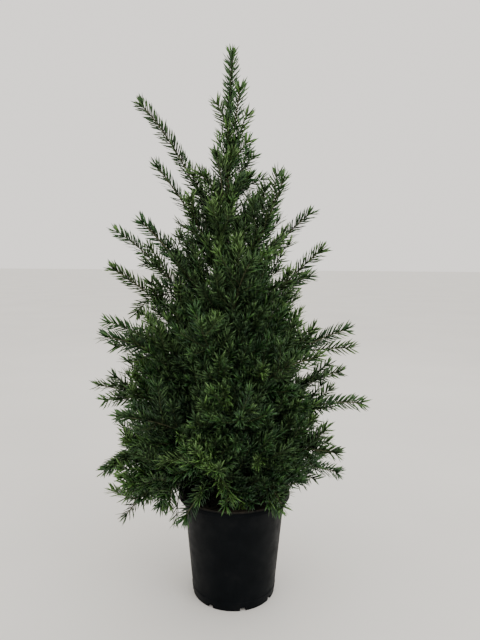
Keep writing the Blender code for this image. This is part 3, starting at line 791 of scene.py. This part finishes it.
def trunk_radius(height, angle=0.0):
    share = max(height - SOIL_HEIGHT, 0.0) / (TRUNK_TOP - SOIL_HEIGHT)
    taper = between(TRUNK_RADII, share ** TRUNK_TAPER_POWER)
    flare = FLARE_RADIUS * math.exp(-(height - SOIL_HEIGHT) / FLARE_HEIGHT)
    return taper + flare * (1 - FLARE_RIDGE_DEPTH + FLARE_RIDGE_DEPTH * math.cos(FLARE_RIDGES * angle))


def limb_point(row, share):
    height, azimuth, reach, tip_height, bow = row
    centre = trunk_centre(height)
    swerve = SWERVE * math.sin(height * SWERVE_RATE) * math.sin(math.pi * share)
    angle = math.radians(azimuth + swerve)
    z = height + (tip_height - height) * share + 4 * bow * share * (1 - share)
    return np.array((
        centre[0] + reach * share * math.cos(angle),
        centre[1] + reach * share * math.sin(angle),
        z,
    ))


def limb_path(row, start, end, count):
    return np.array([limb_point(row, start + (end - start) * step / (count - 1)) for step in range(count)])


def path_length(path):
    return float(np.linalg.norm(np.diff(path, axis=0), axis=1).sum())


def along(path, distances):
    """Points at these distances along a sampled path."""
    lengths = np.concatenate(([0.0], np.cumsum(np.linalg.norm(np.diff(path, axis=0), axis=1))))
    return np.stack([np.interp(distances, lengths, path[:, axis]) for axis in range(3)], axis=-1)


def side_name(azimuth):
    names = ("right", "back_right", "back", "back_left", "left", "front_left", "front", "front_right")
    return names[round(azimuth / 45.0) % 8]


# Bark
TRUNK_RINGS = 420
TRUNK_SIDES = 28
TRUNK_SUNK = 0.004
BOUGH_RINGS = 42
BOUGH_SIDES = 14
BARK_CREASE = 60.0
BARK_SIDE = (0.31, 0.95, 0.11)
RIDGE_GRAIN = (3.0, 3.0, 120.0)
RIDGE_DEPTH = 0.042
SCALE_GRAIN = 3.1
SCALE_PLACE = (7.0, 0.0, 0.0)
SCALE_DEPTH = 0.10


def bark_relief(point, angle, radius):
    """How far a bark scale stands out, at a point of the wood."""
    place = Vector((math.cos(angle), math.sin(angle), point[2])) * Vector(RIDGE_GRAIN)
    scales = abs(noise.noise(place * SCALE_GRAIN + Vector(SCALE_PLACE)))
    return radius * (RIDGE_DEPTH * noise.noise(place) + SCALE_DEPTH * scales)


def framed(path, way):
    """Each point of a path with two axes across it, which start from a way and turn with the path."""
    tangents = units(np.gradient(path, axis=0))
    side = np.cross(tangents[0], way)
    for centre, tangent in zip(path, tangents):
        side = unit(side - tangent * np.dot(side, tangent))
        yield centre, side, np.cross(tangent, side)


def add_wood(points, faces, path, radii, sides, turn=0.0):
    """Add a closed limb with bark relief along a path."""
    low = len(points)
    for (centre, side, other), radius in zip(framed(path, BARK_SIDE), radii):
        for corner in range(sides):
            angle = 2 * math.pi * corner / sides
            size = radius(angle) if callable(radius) else radius
            size += bark_relief(centre, angle + turn, size)
            points.append(centre + size * (math.cos(angle) * side + math.sin(angle) * other))
    faces.append(tuple(range(low, low + sides))[::-1])
    faces.extend(tube(low, sides, len(path)))
    faces.append(tuple(range(len(points) - sides, len(points))))


def make_bark(limbs):
    points = []
    faces = []
    heights = np.linspace(SOIL_HEIGHT - TRUNK_SUNK, TRUNK_TOP, TRUNK_RINGS)
    path = np.array([trunk_centre(height) for height in heights])
    radii = [lambda angle, height=height: trunk_radius(height, angle) for height in heights]
    add_wood(points, faces, path, radii, TRUNK_SIDES)
    for limb in limbs:
        if not limb.has_bough:
            continue
        shares = np.linspace(0.0, BOUGH_SHARE, BOUGH_RINGS)
        path = limb_path(limb.row, 0.0, BOUGH_SHARE, BOUGH_RINGS)
        size = THINNEST_BOUGH + (1 - THINNEST_BOUGH) * limb.row[2] / LONG_REACH
        parts = shares / BOUGH_SHARE
        distance = np.maximum(shares * limb.length - trunk_radius(limb.row[0]), 0.0)
        radii = BOUGH_ROOT_RADIUS * size * (1 - parts) + BOUGH_TIP_RADIUS * parts
        radii = radii + COLLAR_RADIUS * np.exp(-distance / COLLAR_REACH)
        add_wood(points, faces, path, radii, BOUGH_SIDES, limb.number)
    bark = new_object("bark", points, faces, [bark_finish()])
    face_outward(bark)
    smooth(bark, BARK_CREASE)
    nodes = ["trunk"] + [f"bough_{limb.name}" for limb in limbs if limb.has_bough]
    belongs(bark, nodes)


# Growth
@dataclass
class Limb:
    number: int
    row: tuple
    has_bough: bool

    def __post_init__(self):
        self.name = f"{self.number:02d}_{side_name(self.row[1])}"
        self.path = limb_path(self.row, 0.0, 1.0, LIMB_POINTS)
        self.length = path_length(self.path)


@dataclass
class Shoot:
    """A leafy stem: its line, its radii, the plane its needles keep to, and their tones."""

    path: np.ndarray
    radii: tuple
    order: int
    roll: float
    flat: float
    tones: tuple
    pitch: float
    bare: float = BARE_START

    def __post_init__(self):
        self.length = path_length(self.path)


def turn_in(chance, spread):
    return math.radians(chance.uniform(*spread))


def side_root(stem, distance, step):
    """A place on a stem, the way ahead from there, and the level side and the upper side of it."""
    root = along(stem, distance)
    ahead = unit(along(stem, distance + step) - root)
    level = unit(np.cross(ahead, UP) + NUDGE)
    return root, ahead, level, np.cross(level, ahead)


def curved(root, way, length, lift):
    count = max(4, round(length / PATH_STEP)) + 1
    shares = np.linspace(0.0, 1.0, count)[:, None]
    return root + way * length * shares + UP * lift * shares ** 2


def stepped(value, low, high):
    """A smooth step from 0 at low to 1 at high."""
    share = min(max((value - low) / (high - low), 0.0), 1.0)
    return share * share * (3 - 2 * share)


def body_radius(height):
    """How far the dense body of the crown reaches at a height."""
    share = min(max(height - BODY_WIDEST, 0.0) / (BODY_TOP - BODY_WIDEST), 1.0)
    neck = 1.0 - (1.0 - NECK_SHARE) * stepped(height, *BODY_NECK)
    column = COLUMN_RADIUS * (1.0 - stepped(height, *COLUMN_END))
    return max(BODY_RADIUS * (1.0 - share ** BODY_POWER) * neck, column, BODY_LEAST)


def body_foot(point):
    """The lowest height of the crown's body.

    It is higher in front and over the pot's open mouth, and lower at the right and in the left skirt.
    """
    right = stepped(point[0], *RIGHT_FOOT) - stepped(point[0], *RIGHT_FOOT_END)
    front = FRONT_RISE * max(-point[1], 0.0) * (1.0 - 0.5 * right)
    mouth = stepped(point[0], *MOUTH_START) - stepped(point[0], *MOUTH_END)
    front += MOUTH_RISE * mouth * stepped(-point[1], 0.0, MOUTH_DEPTH)
    skirt = stepped(-point[0], *SKIRT_START)
    return BODY_FOOT + front - RIGHT_DROP * right - SKIRT_DROP * skirt


def body_share(point):
    """A point's distance from the trunk as a share of the body's radius there."""
    centre = trunk_centre(point[2])
    shift = BODY_SHIFT * (1.0 - stepped(point[2], *BODY_SHIFT_END))
    return math.hypot(point[0] - centre[0] - shift, point[1] - centre[1]) / body_radius(point[2])


def room(root, way, size, limit):
    """The length that a shoot may have before it leaves the crown's body.

    One that springs from a limb below the body may keep to that limb's height, except where the photo
    shows the pot's mouth.
    """
    steps = max(2, round(size / ROOM_STEP))
    low_limb = not MOUTH_VIEW[0] < root[0] < MOUTH_VIEW[1]
    for step in range(1, steps + 1):
        point = root + way * size * step / steps
        lowest = min(body_foot(point), root[2]) if low_limb else body_foot(point)
        if body_share(point) > limit or point[2] < lowest - FOOT_MARGIN:
            return size * (step - 1) / steps
    return size


def blocked(points):
    """Which points lie in the pot's wall or lip, in the soil or below them."""
    radius = np.hypot(points[:, 0], points[:, 1])
    height = points[:, 2]
    inner = wall_radius(height) - POT_WALL - WALL_CLEAR
    wall = (radius > inner) & (radius < LIP_RADIUS + LIP_CLEAR) & (height < POT_HEIGHT + LIP_CLEAR)
    soil = (radius <= inner) & (height < SOIL_HEIGHT + SOIL_CLEAR)
    return wall | soil | (height < FLOOR_CLEAR)


def clipped(path):
    """A path up to where it would enter the pot or the soil, or None if too little is left."""
    bad = blocked(path)
    count = len(path) if not bad.any() else int(np.argmax(bad))
    return path[:count] if count >= 3 else None


def lump(point):
    """How full the crown is at a point, from about 0.2 in its hollows to about 0.8."""
    return 0.5 + 0.5 * noise.noise(Vector(point) * Vector(BODY_LUMPS) + Vector(LUMPS_PLACE))


def spray_tones(chance, depth, place):
    """Tones of one spray's base, middle and tip: darker deep in the crown and in its hollows as painted
    shade, lighter near its top as painted light.
    """
    # Painted shade: a spray deep in the crown is darker; the chance part is random tone
    shade = LEAST_SHADE + CHANCE_SHADE * chance.random() + DEPTH_SHADE * depth
    # Painted light: a spray near the top of the crown is lighter
    shade -= TOP_LIGHT * stepped(place[2], BODY_WIDEST, BODY_TOP)
    # Painted shade: a spray in a hollow of the crown is darker
    shade += HOLLOW_SHADE * (0.5 - lump(place))
    return next(tones for limit, tones in SPRAY_TONES if shade < limit)


def add_shoot(shoots, root, way, size, lift, roll, order, chance):
    path = clipped(curved(root, way, size, lift))
    if path is None:
        return None
    radii = (TWIG_RADII[0] - TWIG_RADIUS_LOSS * order, TWIG_RADII[1])
    depth = 1.0 - min(body_share(path[-1]), 1.0)
    pitch = NEEDLE_PITCH if depth < INNER_DEPTH else INNER_PITCH
    shoot = Shoot(path, radii, order, roll, TWIG_FLAT, spray_tones(chance, depth, path[-1]), pitch)
    shoots.append(shoot)
    return shoot


def source_shoots(shoots, limb, stem, buried):
    """The side shoots that the solids have, at the same places, as far as the body reaches.

    The result is the roll that the solids give the limb's own needles.
    """
    chance = random.Random(limb.number)
    for _ in range(1 + CORE_DRAWS):
        chance.random()
    roll = math.radians(chance.uniform(*TIP_SHOOT_ROLL) * chance.choice((-1, 1)))
    tones = random.Random(TONE_SEED + limb.number)
    length = path_length(stem)
    side = chance.choice((-1, 1))
    leafy = length - buried - FIRST_SHOOT - TIP_SHOOT_BARE * TIP_SHOOT
    count = max(2, round(leafy / SHOOT_SPACING))
    for number in range(count):
        station = number / count
        distance = buried + FIRST_SHOOT + leafy * station
        root, ahead, across, over = side_root(stem, distance, SHOOT_AHEAD * length)
        spin = turn_in(chance, SHOOT_SPIN)
        outward = side * (across * math.cos(spin) + over * math.sin(spin))
        angle = turn_in(chance, SHOOT_ANGLE)
        way = unit(ahead * math.cos(angle) + outward * math.sin(angle))
        size = SHOOT_LENGTH * (1.0 - SHOOT_LENGTH_LOSS * station) * chance.uniform(*SHOOT_LENGTH_SPREAD)
        shoot_roll = turn_in(chance, SHOOT_ROLL)
        lift = chance.uniform(*SHOOT_LIFT)
        size = room(root, way, size - TIP_SHORT, tones.uniform(*SOURCE_LIMITS))
        if size > SHORTEST:
            add_shoot(shoots, root, way, size, lift, shoot_roll, 1, tones)
        side = -side
    return roll


def finer_shoots(shoots, limb, stem, buried, chance):
    """Smaller side shoots between those of the solids, all round the stem."""
    length = path_length(stem)
    distance = buried + FINE_START
    turn = chance.uniform(0, 2 * math.pi)
    while distance < length - FINE_END:
        root, ahead, across, over = side_root(stem, distance, FINE_SPACING)
        turn += GOLDEN_ANGLE
        outward = unit(across * math.cos(turn) + FINE_OVER * over * math.sin(turn))
        angle = turn_in(chance, FINE_ANGLE)
        way = unit(ahead * math.cos(angle) + outward * math.sin(angle))
        size = FINE_LENGTH * (1.0 - FINE_LENGTH_LOSS * distance / length)
        size *= chance.uniform(*FINE_LENGTH_SPREAD)
        roll = turn_in(chance, FINE_ROLL)
        lift = chance.uniform(*FINE_LIFT)
        size = room(root, way, size, chance.uniform(*FINE_LIMITS))
        if size > SHORTEST:
            add_shoot(shoots, root, way, size, lift, roll, 1, chance)
        spacing = FINE_SPACING * clear_distance(root[2]) / FILL_CLEAR[0]
        distance += spacing * chance.uniform(*SPACING_SPREAD)


def grow_limb(shoots, limb):
    """The leafy growth that springs from one limb."""
    chance = random.Random(FINE_SEED + limb.number)
    start = BOUGH_SHARE if limb.has_bough else 0.0
    stem = limb_path(limb.row, start, 1.0, STEM_POINTS)
    buried = 0.0 if limb.has_bough else trunk_radius(limb.row[0])
    roll = source_shoots(shoots, limb, stem, buried)
    length = path_length(stem)
    reach = along(stem, np.linspace(0.0, length - TIP_ROOM, max(8, round(length / PATH_STEP))))
    axis = clipped(reach)
    if axis is not None:
        tones = FRESH_TONES if chance.random() < FRESH_AXES else USUAL_TONES
        # Painted shade: the limbs whose tips hang lowest take darker tones
        if limb.row[3] < SHADED_TIP:
            tones = SHADED_TONES
        roll = math.copysign(turn_in(chance, AXIS_ROLL), roll)
        shoots.append(Shoot(axis, STEM_RADII, 0, roll, AXIS_FLAT, tones, AXIS_PITCH, buried + BARE_FOOT))
    finer_shoots(shoots, limb, stem, buried, chance)


def grow_forks(shoots, limbs):
    """The forks and light sprays of the tables, and forks by rule.

    A limb that has none in the tables gets one by rule if it points to the front or the back.
    """
    chance = random.Random(FORK_SEED)
    forks = list(FORKS + LIGHT_SPRAYS)
    forked = {fork[0] for fork in forks}
    for limb in limbs:
        share = chance.uniform(*FORK_SHARE)
        height, azimuth, reach, tip_height, _ = limb.row
        heading = azimuth + chance.choice((-1, 1)) * chance.uniform(*FORK_TURN)
        climb = math.degrees(math.atan2(tip_height - height, reach)) + chance.uniform(*FORK_RISE)
        length = chance.uniform(*FORK_LENGTH)
        depthwise = abs(math.sin(math.radians(azimuth))) > FORK_SIDE
        if limb.number not in forked and depthwise:
            forks.append((limb.number, share, heading, climb, length, RULED_FORK_BOW))
    grown = []
    for fork in forks:
        number, share, heading, climb, length, bow = (*fork, FORK_BOW)[:6]
        root = limb_point(limbs[number - 1].row, share)
        turn, rise = math.radians(heading), math.radians(climb)
        level = math.cos(rise)
        way = np.array((math.cos(turn) * level, math.sin(turn) * level, math.sin(rise)))
        path = clipped(curved(root, way + UP * 4 * bow / length, length - TIP_ROOM, -4 * bow))
        if path is None:
            continue
        roll = turn_in(chance, AXIS_ROLL) * chance.choice((-1, 1))
        tones = chance.choice(FORK_TONES)
        # Painted light: the light sprays that face the viewer take lighter tones
        if fork in LIGHT_SPRAYS:
            tones = chance.choice(LIGHT_TONES)
        grown.append(Shoot(path, FORK_RADII, 1, roll, AXIS_FLAT, tones, AXIS_PITCH))
    shoots.extend(grown)
    return [shoot.path for shoot in grown]


def grow_trunk(shoots):
    """Twigs on the trunk between the limbs, and the leader."""
    chance = random.Random(FINE_SEED)
    turn = 0.0
    height = TRUNK_TWIG_START
    while height < TRUNK_TOP:
        turn += GOLDEN_ANGLE
        share = (height - TRUNK_TWIG_START) / TRUNK_TWIG_RUN
        root = trunk_centre(height)
        outward = np.array((math.cos(turn), math.sin(turn), 0.0))
        way = unit(outward + UP * (TRUNK_TWIG_RISE[0] + TRUNK_TWIG_RISE[1] * share))
        size = TRUNK_TWIG_LENGTH * (1.0 - FINE_LENGTH_LOSS * share) * chance.uniform(*TRUNK_LENGTH_SPREAD)
        roll = turn_in(chance, FINE_ROLL)
        size = room(root, way, size, 1.0)
        if size > SHORTEST:
            add_shoot(shoots, root, way, size, TRUNK_TWIG_LIFT, roll, 1, chance)
        height += TRUNK_TWIG_SPACING * chance.uniform(*TRUNK_SPACING_SPREAD)
    heights = np.linspace(LEADER_START, PLANT_TOP - TIP_ROOM, LEADER_POINTS)
    leader = np.array([trunk_centre(height) for height in heights])
    shoots.append(Shoot(leader, LEADER_RADII, 0, 0.0, LEADER_FLAT, FRESH_TONES, LEADER_PITCH, 0.0))


def wood_points(limbs):
    """Places along the boughs and the trunk that a twig may spring from."""
    places = []
    for limb in limbs:
        if limb.has_bough:
            places.append(along(limb.path, np.arange(WOOD_START[0], BOUGH_SHARE * limb.length, FINE_STEP)))
    heights = np.arange(WOOD_START[1], LEADER_START, FINE_STEP)
    places.append(np.array([trunk_centre(height) for height in heights]))
    return places


def gathered(paths):
    """All points of these paths with their tangents, and a tree to search them by place."""
    points = np.vstack(paths)
    tangents = np.vstack([units(np.gradient(path, axis=0)) for path in paths])
    tree = kdtree.KDTree(len(points))
    for index, point in enumerate(points):
        tree.insert(point, index)
    tree.balance()
    return points, tangents, tree


def fill_targets(chance, stems):
    """Places spread evenly through the crown's body near the limbs, in a mixed order."""
    targets = []
    steps = math.ceil(BODY_RADIUS / FILL_GRID)
    across = range(-steps, steps + 1)
    lowest = BODY_FOOT - SKIRT_DROP
    levels = range(round((PLANT_TOP - lowest) / FILL_GRID))
    for level, row, column in product(levels, across, across):
        jitter = [chance.uniform(0.0, FILL_GRID) for _ in range(3)]
        place = np.array((column * FILL_GRID, row * FILL_GRID, lowest + level * FILL_GRID)) + jitter
        if place[2] < body_foot(place) or stems.find(place)[2] > LIMB_NEAR:
            continue
        if body_share(place) < between(BODY_SHARES, lump(place)):
            targets.append(place)
    chance.shuffle(targets)
    return targets


def clear_distance(height):
    """How far apart the twigs that fill the body keep: farther near its top, where it is airier."""
    return between(FILL_CLEAR, stepped(height, *AIRY))


def cell_of(point):
    return tuple(int(value // FILL_CLEAR[0]) for value in point)


def best_root(target, points, tangents, tree):
    """The place on the growth so far from which a twig reaches the target most naturally."""
    least, usual, most = FILL_LENGTHS
    lean = between(FILL_LEAN, stepped(target[2], BODY_FOOT, LEAN_END))
    outward = unit(unit(target - trunk_centre(target[2])) + lean * UP)
    found = np.array([index for _, index, distance in tree.find_range(target, most) if distance > least])
    if not len(found):
        return None
    ways = target - points[found]
    distances = np.linalg.norm(ways, axis=1)
    ways /= distances[:, None]
    ahead = (ways * tangents[found]).sum(axis=1)
    out = ways @ outward
    scores = np.abs(distances - usual) - FILL_PULL * (ahead + out)
    scores[(ahead < LEAST_AHEAD) | (out < LEAST_OUTWARD)] = math.inf
    best = int(np.argmin(scores))
    return None if math.isinf(scores[best]) else (found[best], ways[best], distances[best])


def fill_crown(shoots, limbs, forks):
    """Twigs that grow from the stems so far into each place of the body that is still empty."""
    chance = random.Random(FILL_SEED)
    wood = wood_points(limbs)
    stems = gathered([limb.path for limb in limbs] + forks + wood[-1:])[2]
    for _ in range(FILL_ROUNDS):
        points, tangents, tree = gathered([shoot.path for shoot in shoots] + wood)
        taken = set()
        for target in fill_targets(chance, stems):
            cell = cell_of(target)
            if cell in taken or tree.find(target)[2] < clear_distance(target[2]):
                continue
            best = best_root(target, points, tangents, tree)
            if best is None:
                continue
            index, way, distance = best
            lift = chance.uniform(*FILL_LIFT)
            way = unit(way * distance - UP * lift)
            size = room(points[index], way, distance + FILL_BEYOND, chance.uniform(*FILL_LIMITS))
            if size < SHORTEST:
                continue
            roll = turn_in(chance, FILL_ROLL)
            shoot = add_shoot(shoots, points[index], way, size, lift, roll, 2, chance)
            if shoot is not None:
                places = along(shoot.path, np.arange(0.0, shoot.length, FINE_STEP))
                taken.update(cell_of(place) for place in places)


# Twigs and needles as meshes
def make_twigs(name, shoots, sides, finishes, nodes):
    """Joined tapering stems; with two finishes, their outer parts take the second."""
    points = []
    faces = []
    slots = []
    for shoot in shoots:
        low = len(points)
        count = len(shoot.path)
        for index, (centre, level, over) in zip(range(count - 1), framed(shoot.path, UP)):
            size = between(shoot.radii, index / (count - 1))
            for corner in range(sides):
                angle = 2 * math.pi * corner / sides
                points.append(centre + size * (math.cos(angle) * level + math.sin(angle) * over))
        points.append(shoot.path[-1])
        faces.append(tuple(range(low, low + sides))[::-1])
        faces.extend(tube(low, sides, count - 1))
        last = low + (count - 2) * sides
        for corner in range(sides):
            faces.append((last + corner, last + (corner + 1) % sides, len(points) - 1))
        old = 1 + sides * int((count - 2) * OLD_WOOD)
        young = len(faces) - len(slots) - old
        slots.extend([0] * old + [len(finishes) - 1] * young)
    piece = new_object(name, points, faces, finishes, slots)
    piece.data.shade_smooth()
    belongs(piece, nodes)


def needles_of(shoot, chance):
    """Rows of one shoot's needles: root, direction, face normal, curve, length, tone."""
    start = min(shoot.bare, shoot.length / 2)
    count = max(int((shoot.length - start) / shoot.pitch), 2)
    tufted = TUFT[shoot.order]
    steps = np.arange(count + tufted)
    jitter = chance.uniform(0.0, PITCH_JITTER, count)
    spread = start + (steps[:count] + jitter) * (shoot.length - start) / count
    tuft = shoot.length - TUFT_DEPTH * chance.random(tufted)
    distances = np.concatenate((spread, tuft))
    count += tufted
    roots = along(shoot.path, distances)
    before, after = (along(shoot.path, distances + offset) for offset in (-TANGENT_STEP, TANGENT_STEP))
    tangents = units(after - before)
    levels = units(np.cross(tangents, UP) + NUDGE)
    overs = np.cross(levels, tangents)
    cosine, sine = math.cos(shoot.roll), math.sin(shoot.roll)
    sides = levels * cosine + overs * sine
    tops = overs * cosine - levels * sine
    turns = steps * GOLDEN_ANGLE + chance.uniform(*TURN_JITTER, count)
    outward = np.cos(turns)[:, None] * sides + (1 - shoot.flat) * np.sin(turns)[:, None] * tops
    outward = units(outward + NEEDLE_SWEEP * (1.0 - np.abs(tangents[:, 2:])) * UP)
    left = np.maximum(shoot.length - distances, 0.0)
    near_tip = np.clip(1 - left / TIP_LENGTH, 0.0, 1.0)
    wander = chance.uniform(*NEEDLE_WANDER, count) * (1 + near_tip)
    angles = np.radians(NEEDLE_ANGLE - TIP_CLOSING * near_tip + wander)
    ways = units(np.cos(angles)[:, None] * tangents + np.sin(angles)[:, None] * outward)
    radial = (roots - trunk_centre(CROWN_MIDDLE)) * (1.0, 1.0, 0.0)
    upper = tops * np.where(tops[:, 2] < 0, -1.0, 1.0)[:, None]
    faces = TO_LIGHT * (UP + units(radial)) + TO_PLANE * upper
    faces += TO_CHANCE * chance.uniform(-1, 1, (count, 3))
    normals = units(faces - ways * (faces * ways).sum(axis=1)[:, None])
    near_foot = 1.0 - np.clip(distances / FOOT_LENGTH, 0.0, 1.0)
    profile = 1.0 - FOOT_SHORTER * near_foot - TIP_SHORTER * near_tip
    lengths = NEEDLE_LENGTH * profile * chance.uniform(*LENGTH_SPREAD, count)
    curves = CURVE_AHEAD * tangents + CURVE_ASIDE * chance.uniform(-1.0, 1.0, (count, 1)) * normals
    base, middle, end = shoot.tones
    tones = np.where(left < TONE_ENDS[0], end, np.where(left < TONE_ENDS[1], middle, base))
    luck = chance.random(count)
    tones = np.clip(tones + (luck < TONE_STEP) - (luck > 1.0 - TONE_STEP), 0, len(TONES) - 1)
    tips = roots + ways * lengths[:, None]
    fits = ~(blocked(tips) | blocked((roots + tips) / 2))
    return np.column_stack((roots, ways, normals, curves, lengths, tones))[fits]


# A needle's six points: left and right of its foot, left, ridge and right where it is widest, and tip
NEEDLE_UPPER = ((0, 1, 3), (0, 3, 2), (1, 4, 3), (2, 3, 5), (3, 4, 5))
NEEDLE_UNDER = ((0, 2, 4, 1), (2, 5, 4))


def needle_mesh(name, rows, finishes):
    """A joined mesh of closed needles, each with a ridge along its upper side and a flat underside."""
    roots, ways, normals, curves = (rows[:, 3 * part:3 * part + 3] for part in range(4))
    lengths = rows[:, 12][:, None]
    across = np.cross(ways, normals) * NEEDLE_WIDTH / 2
    middle = roots + ways * lengths * NEEDLE_WIDEST + curves * lengths * NEEDLE_WIDEST ** 2
    columns = [
        roots - across * NEEDLE_FOOT_WIDTH,
        roots + across * NEEDLE_FOOT_WIDTH,
        middle - across,
        middle + normals * NEEDLE_THICKNESS,
        middle + across,
        roots + ways * lengths + curves * lengths,
    ]
    points = np.stack(columns, axis=1).reshape(-1, 3)
    lows = range(0, len(points), len(columns))
    needle = NEEDLE_UPPER + NEEDLE_UNDER
    faces = [[low + corner for corner in face] for low in lows for face in needle]
    sides = [0] * len(NEEDLE_UPPER) + [1] * len(NEEDLE_UNDER)
    piece = new_object(name, points, faces, finishes, sides * len(rows))
    piece.data.shade_smooth()
    return piece


def make_needles(shoots, nodes):
    chance = np.random.default_rng(NEEDLE_SEED)
    rows = np.vstack([needles_of(shoot, chance) for shoot in shoots])
    for number, tone in enumerate(TONES):
        chosen = rows[rows[:, 13] == number]
        upper, under = NEEDLE_COLOURS[tone]
        finishes = [
            needle_finish(f"needle_{tone}", upper, 0.42, 0.45),
            needle_finish(f"needle_{tone}_underside", under, 0.60, 0.30),
        ]
        chosen = chosen[np.argsort(chosen[:, 2])]
        parts = max(1, math.ceil(len(chosen) / MOST_NEEDLES))
        for part, share in enumerate(np.array_split(chosen, parts), 1):
            piece = needle_mesh(f"needles_{tone}_{part}", share, finishes)
            belongs(piece, nodes)


def make_plant():
    rows = [(row, True) for row in BOUGHS] + [(row, False) for row in SPURS]
    limbs = [Limb(number, row, has_bough) for number, (row, has_bough) in enumerate(rows, 1)]
    make_bark(limbs)
    shoots = []
    for limb in limbs:
        grow_limb(shoots, limb)
    forks = grow_forks(shoots, limbs)
    grow_trunk(shoots)
    fill_crown(shoots, limbs, forks)
    nodes = [f"foliage_{limb.name}" for limb in limbs] + ["foliage_top"]
    brown = twig_finish("twig_brown", (0.044, 0.035, 0.023), (0.080, 0.066, 0.042))
    olive = twig_finish("twig_olive", (0.048, 0.056, 0.025), (0.092, 0.098, 0.046))
    green = twig_finish("twig_green", (0.045, 0.066, 0.024), (0.084, 0.112, 0.042))
    kinds = (("stems", 6, [brown, olive]), ("twigs", 4, [olive, green]), ("sprigs", 3, [green]))
    for order, (name, sides, finishes) in enumerate(kinds):
        make_twigs(name, [shoot for shoot in shoots if shoot.order == order], sides, finishes, nodes)
    make_needles(shoots, nodes)


# Stage
FLOOR_HALF = 40.0
SKY_COLOUR = (0.95, 0.91, 0.86, 1.0)
SKY_STRENGTH = 1.50

# Each light's name, place, size and power
LIGHTS = (
    ("key", (1.8, -1.5, 2.1), 1.6, 22.0),
    ("fill", (-1.8, -1.2, 1.5), 1.8, 2.0),
    ("back", (0.4, 1.9, 2.2), 1.6, 7.0),
)
LIGHT_AIM = (0.0, 0.0, 0.45)


def make_stage():
    floor_finish = Finish("pale_floor", (0.82, 0.81, 0.78), 0.9, 0.2)
    mottle = floor_finish.noise(1.5, 3.0)
    floor_finish.set("Base Color", floor_finish.ramp(mottle, (
        (0.3, (0.80, 0.79, 0.76)),
        (0.7, (0.85, 0.84, 0.81)),
    )))
    points = [(x * FLOOR_HALF, y * FLOOR_HALF, 0.0) for x, y in ((-1, -1), (1, -1), (1, 1), (-1, 1))]
    floor = new_object("floor", points, [(0, 1, 2, 3)], [floor_finish.material])
    world = bpy.data.worlds.new("studio")
    bpy.context.scene.world = world
    world.use_nodes = True
    sky = world.node_tree.nodes["Background"]
    sky.inputs["Color"].default_value = SKY_COLOUR
    sky.inputs["Strength"].default_value = SKY_STRENGTH
    for light in LIGHTS:
        add_light(*light)


def add_light(name, place, size, power):
    lamp = bpy.data.lights.new(name, "AREA")
    lamp.energy = power
    lamp.size = size
    light = placed(name, lamp)
    light.location = place
    aim = Vector(LIGHT_AIM) - Vector(place)
    light.rotation_euler = aim.to_track_quat("-Z", "Y").to_euler()


def make_camera():
    pitch, yaw, roll = (math.radians(angle) for angle in (CAMERA_PITCH, CAMERA_YAW, CAMERA_ROLL))
    turn = Matrix.Rotation(-yaw, 4, "Z") @ Matrix.Rotation(math.pi / 2 - pitch, 4, "X")
    turn = turn @ Matrix.Rotation(-roll, 4, "Z")
    lens = bpy.data.cameras.new("camera")
    lens.sensor_width = SENSOR
    lens.lens = FOCAL_PIXELS / IMAGE_HEIGHT * SENSOR
    lens.clip_start = CLIP_START
    camera = placed("camera", lens)
    camera.matrix_world = Matrix.Translation(CAMERA_PLACE) @ turn
    bpy.context.scene.camera = camera


make_camera()
make_stage()
make_pot()
make_soil()
make_plant()
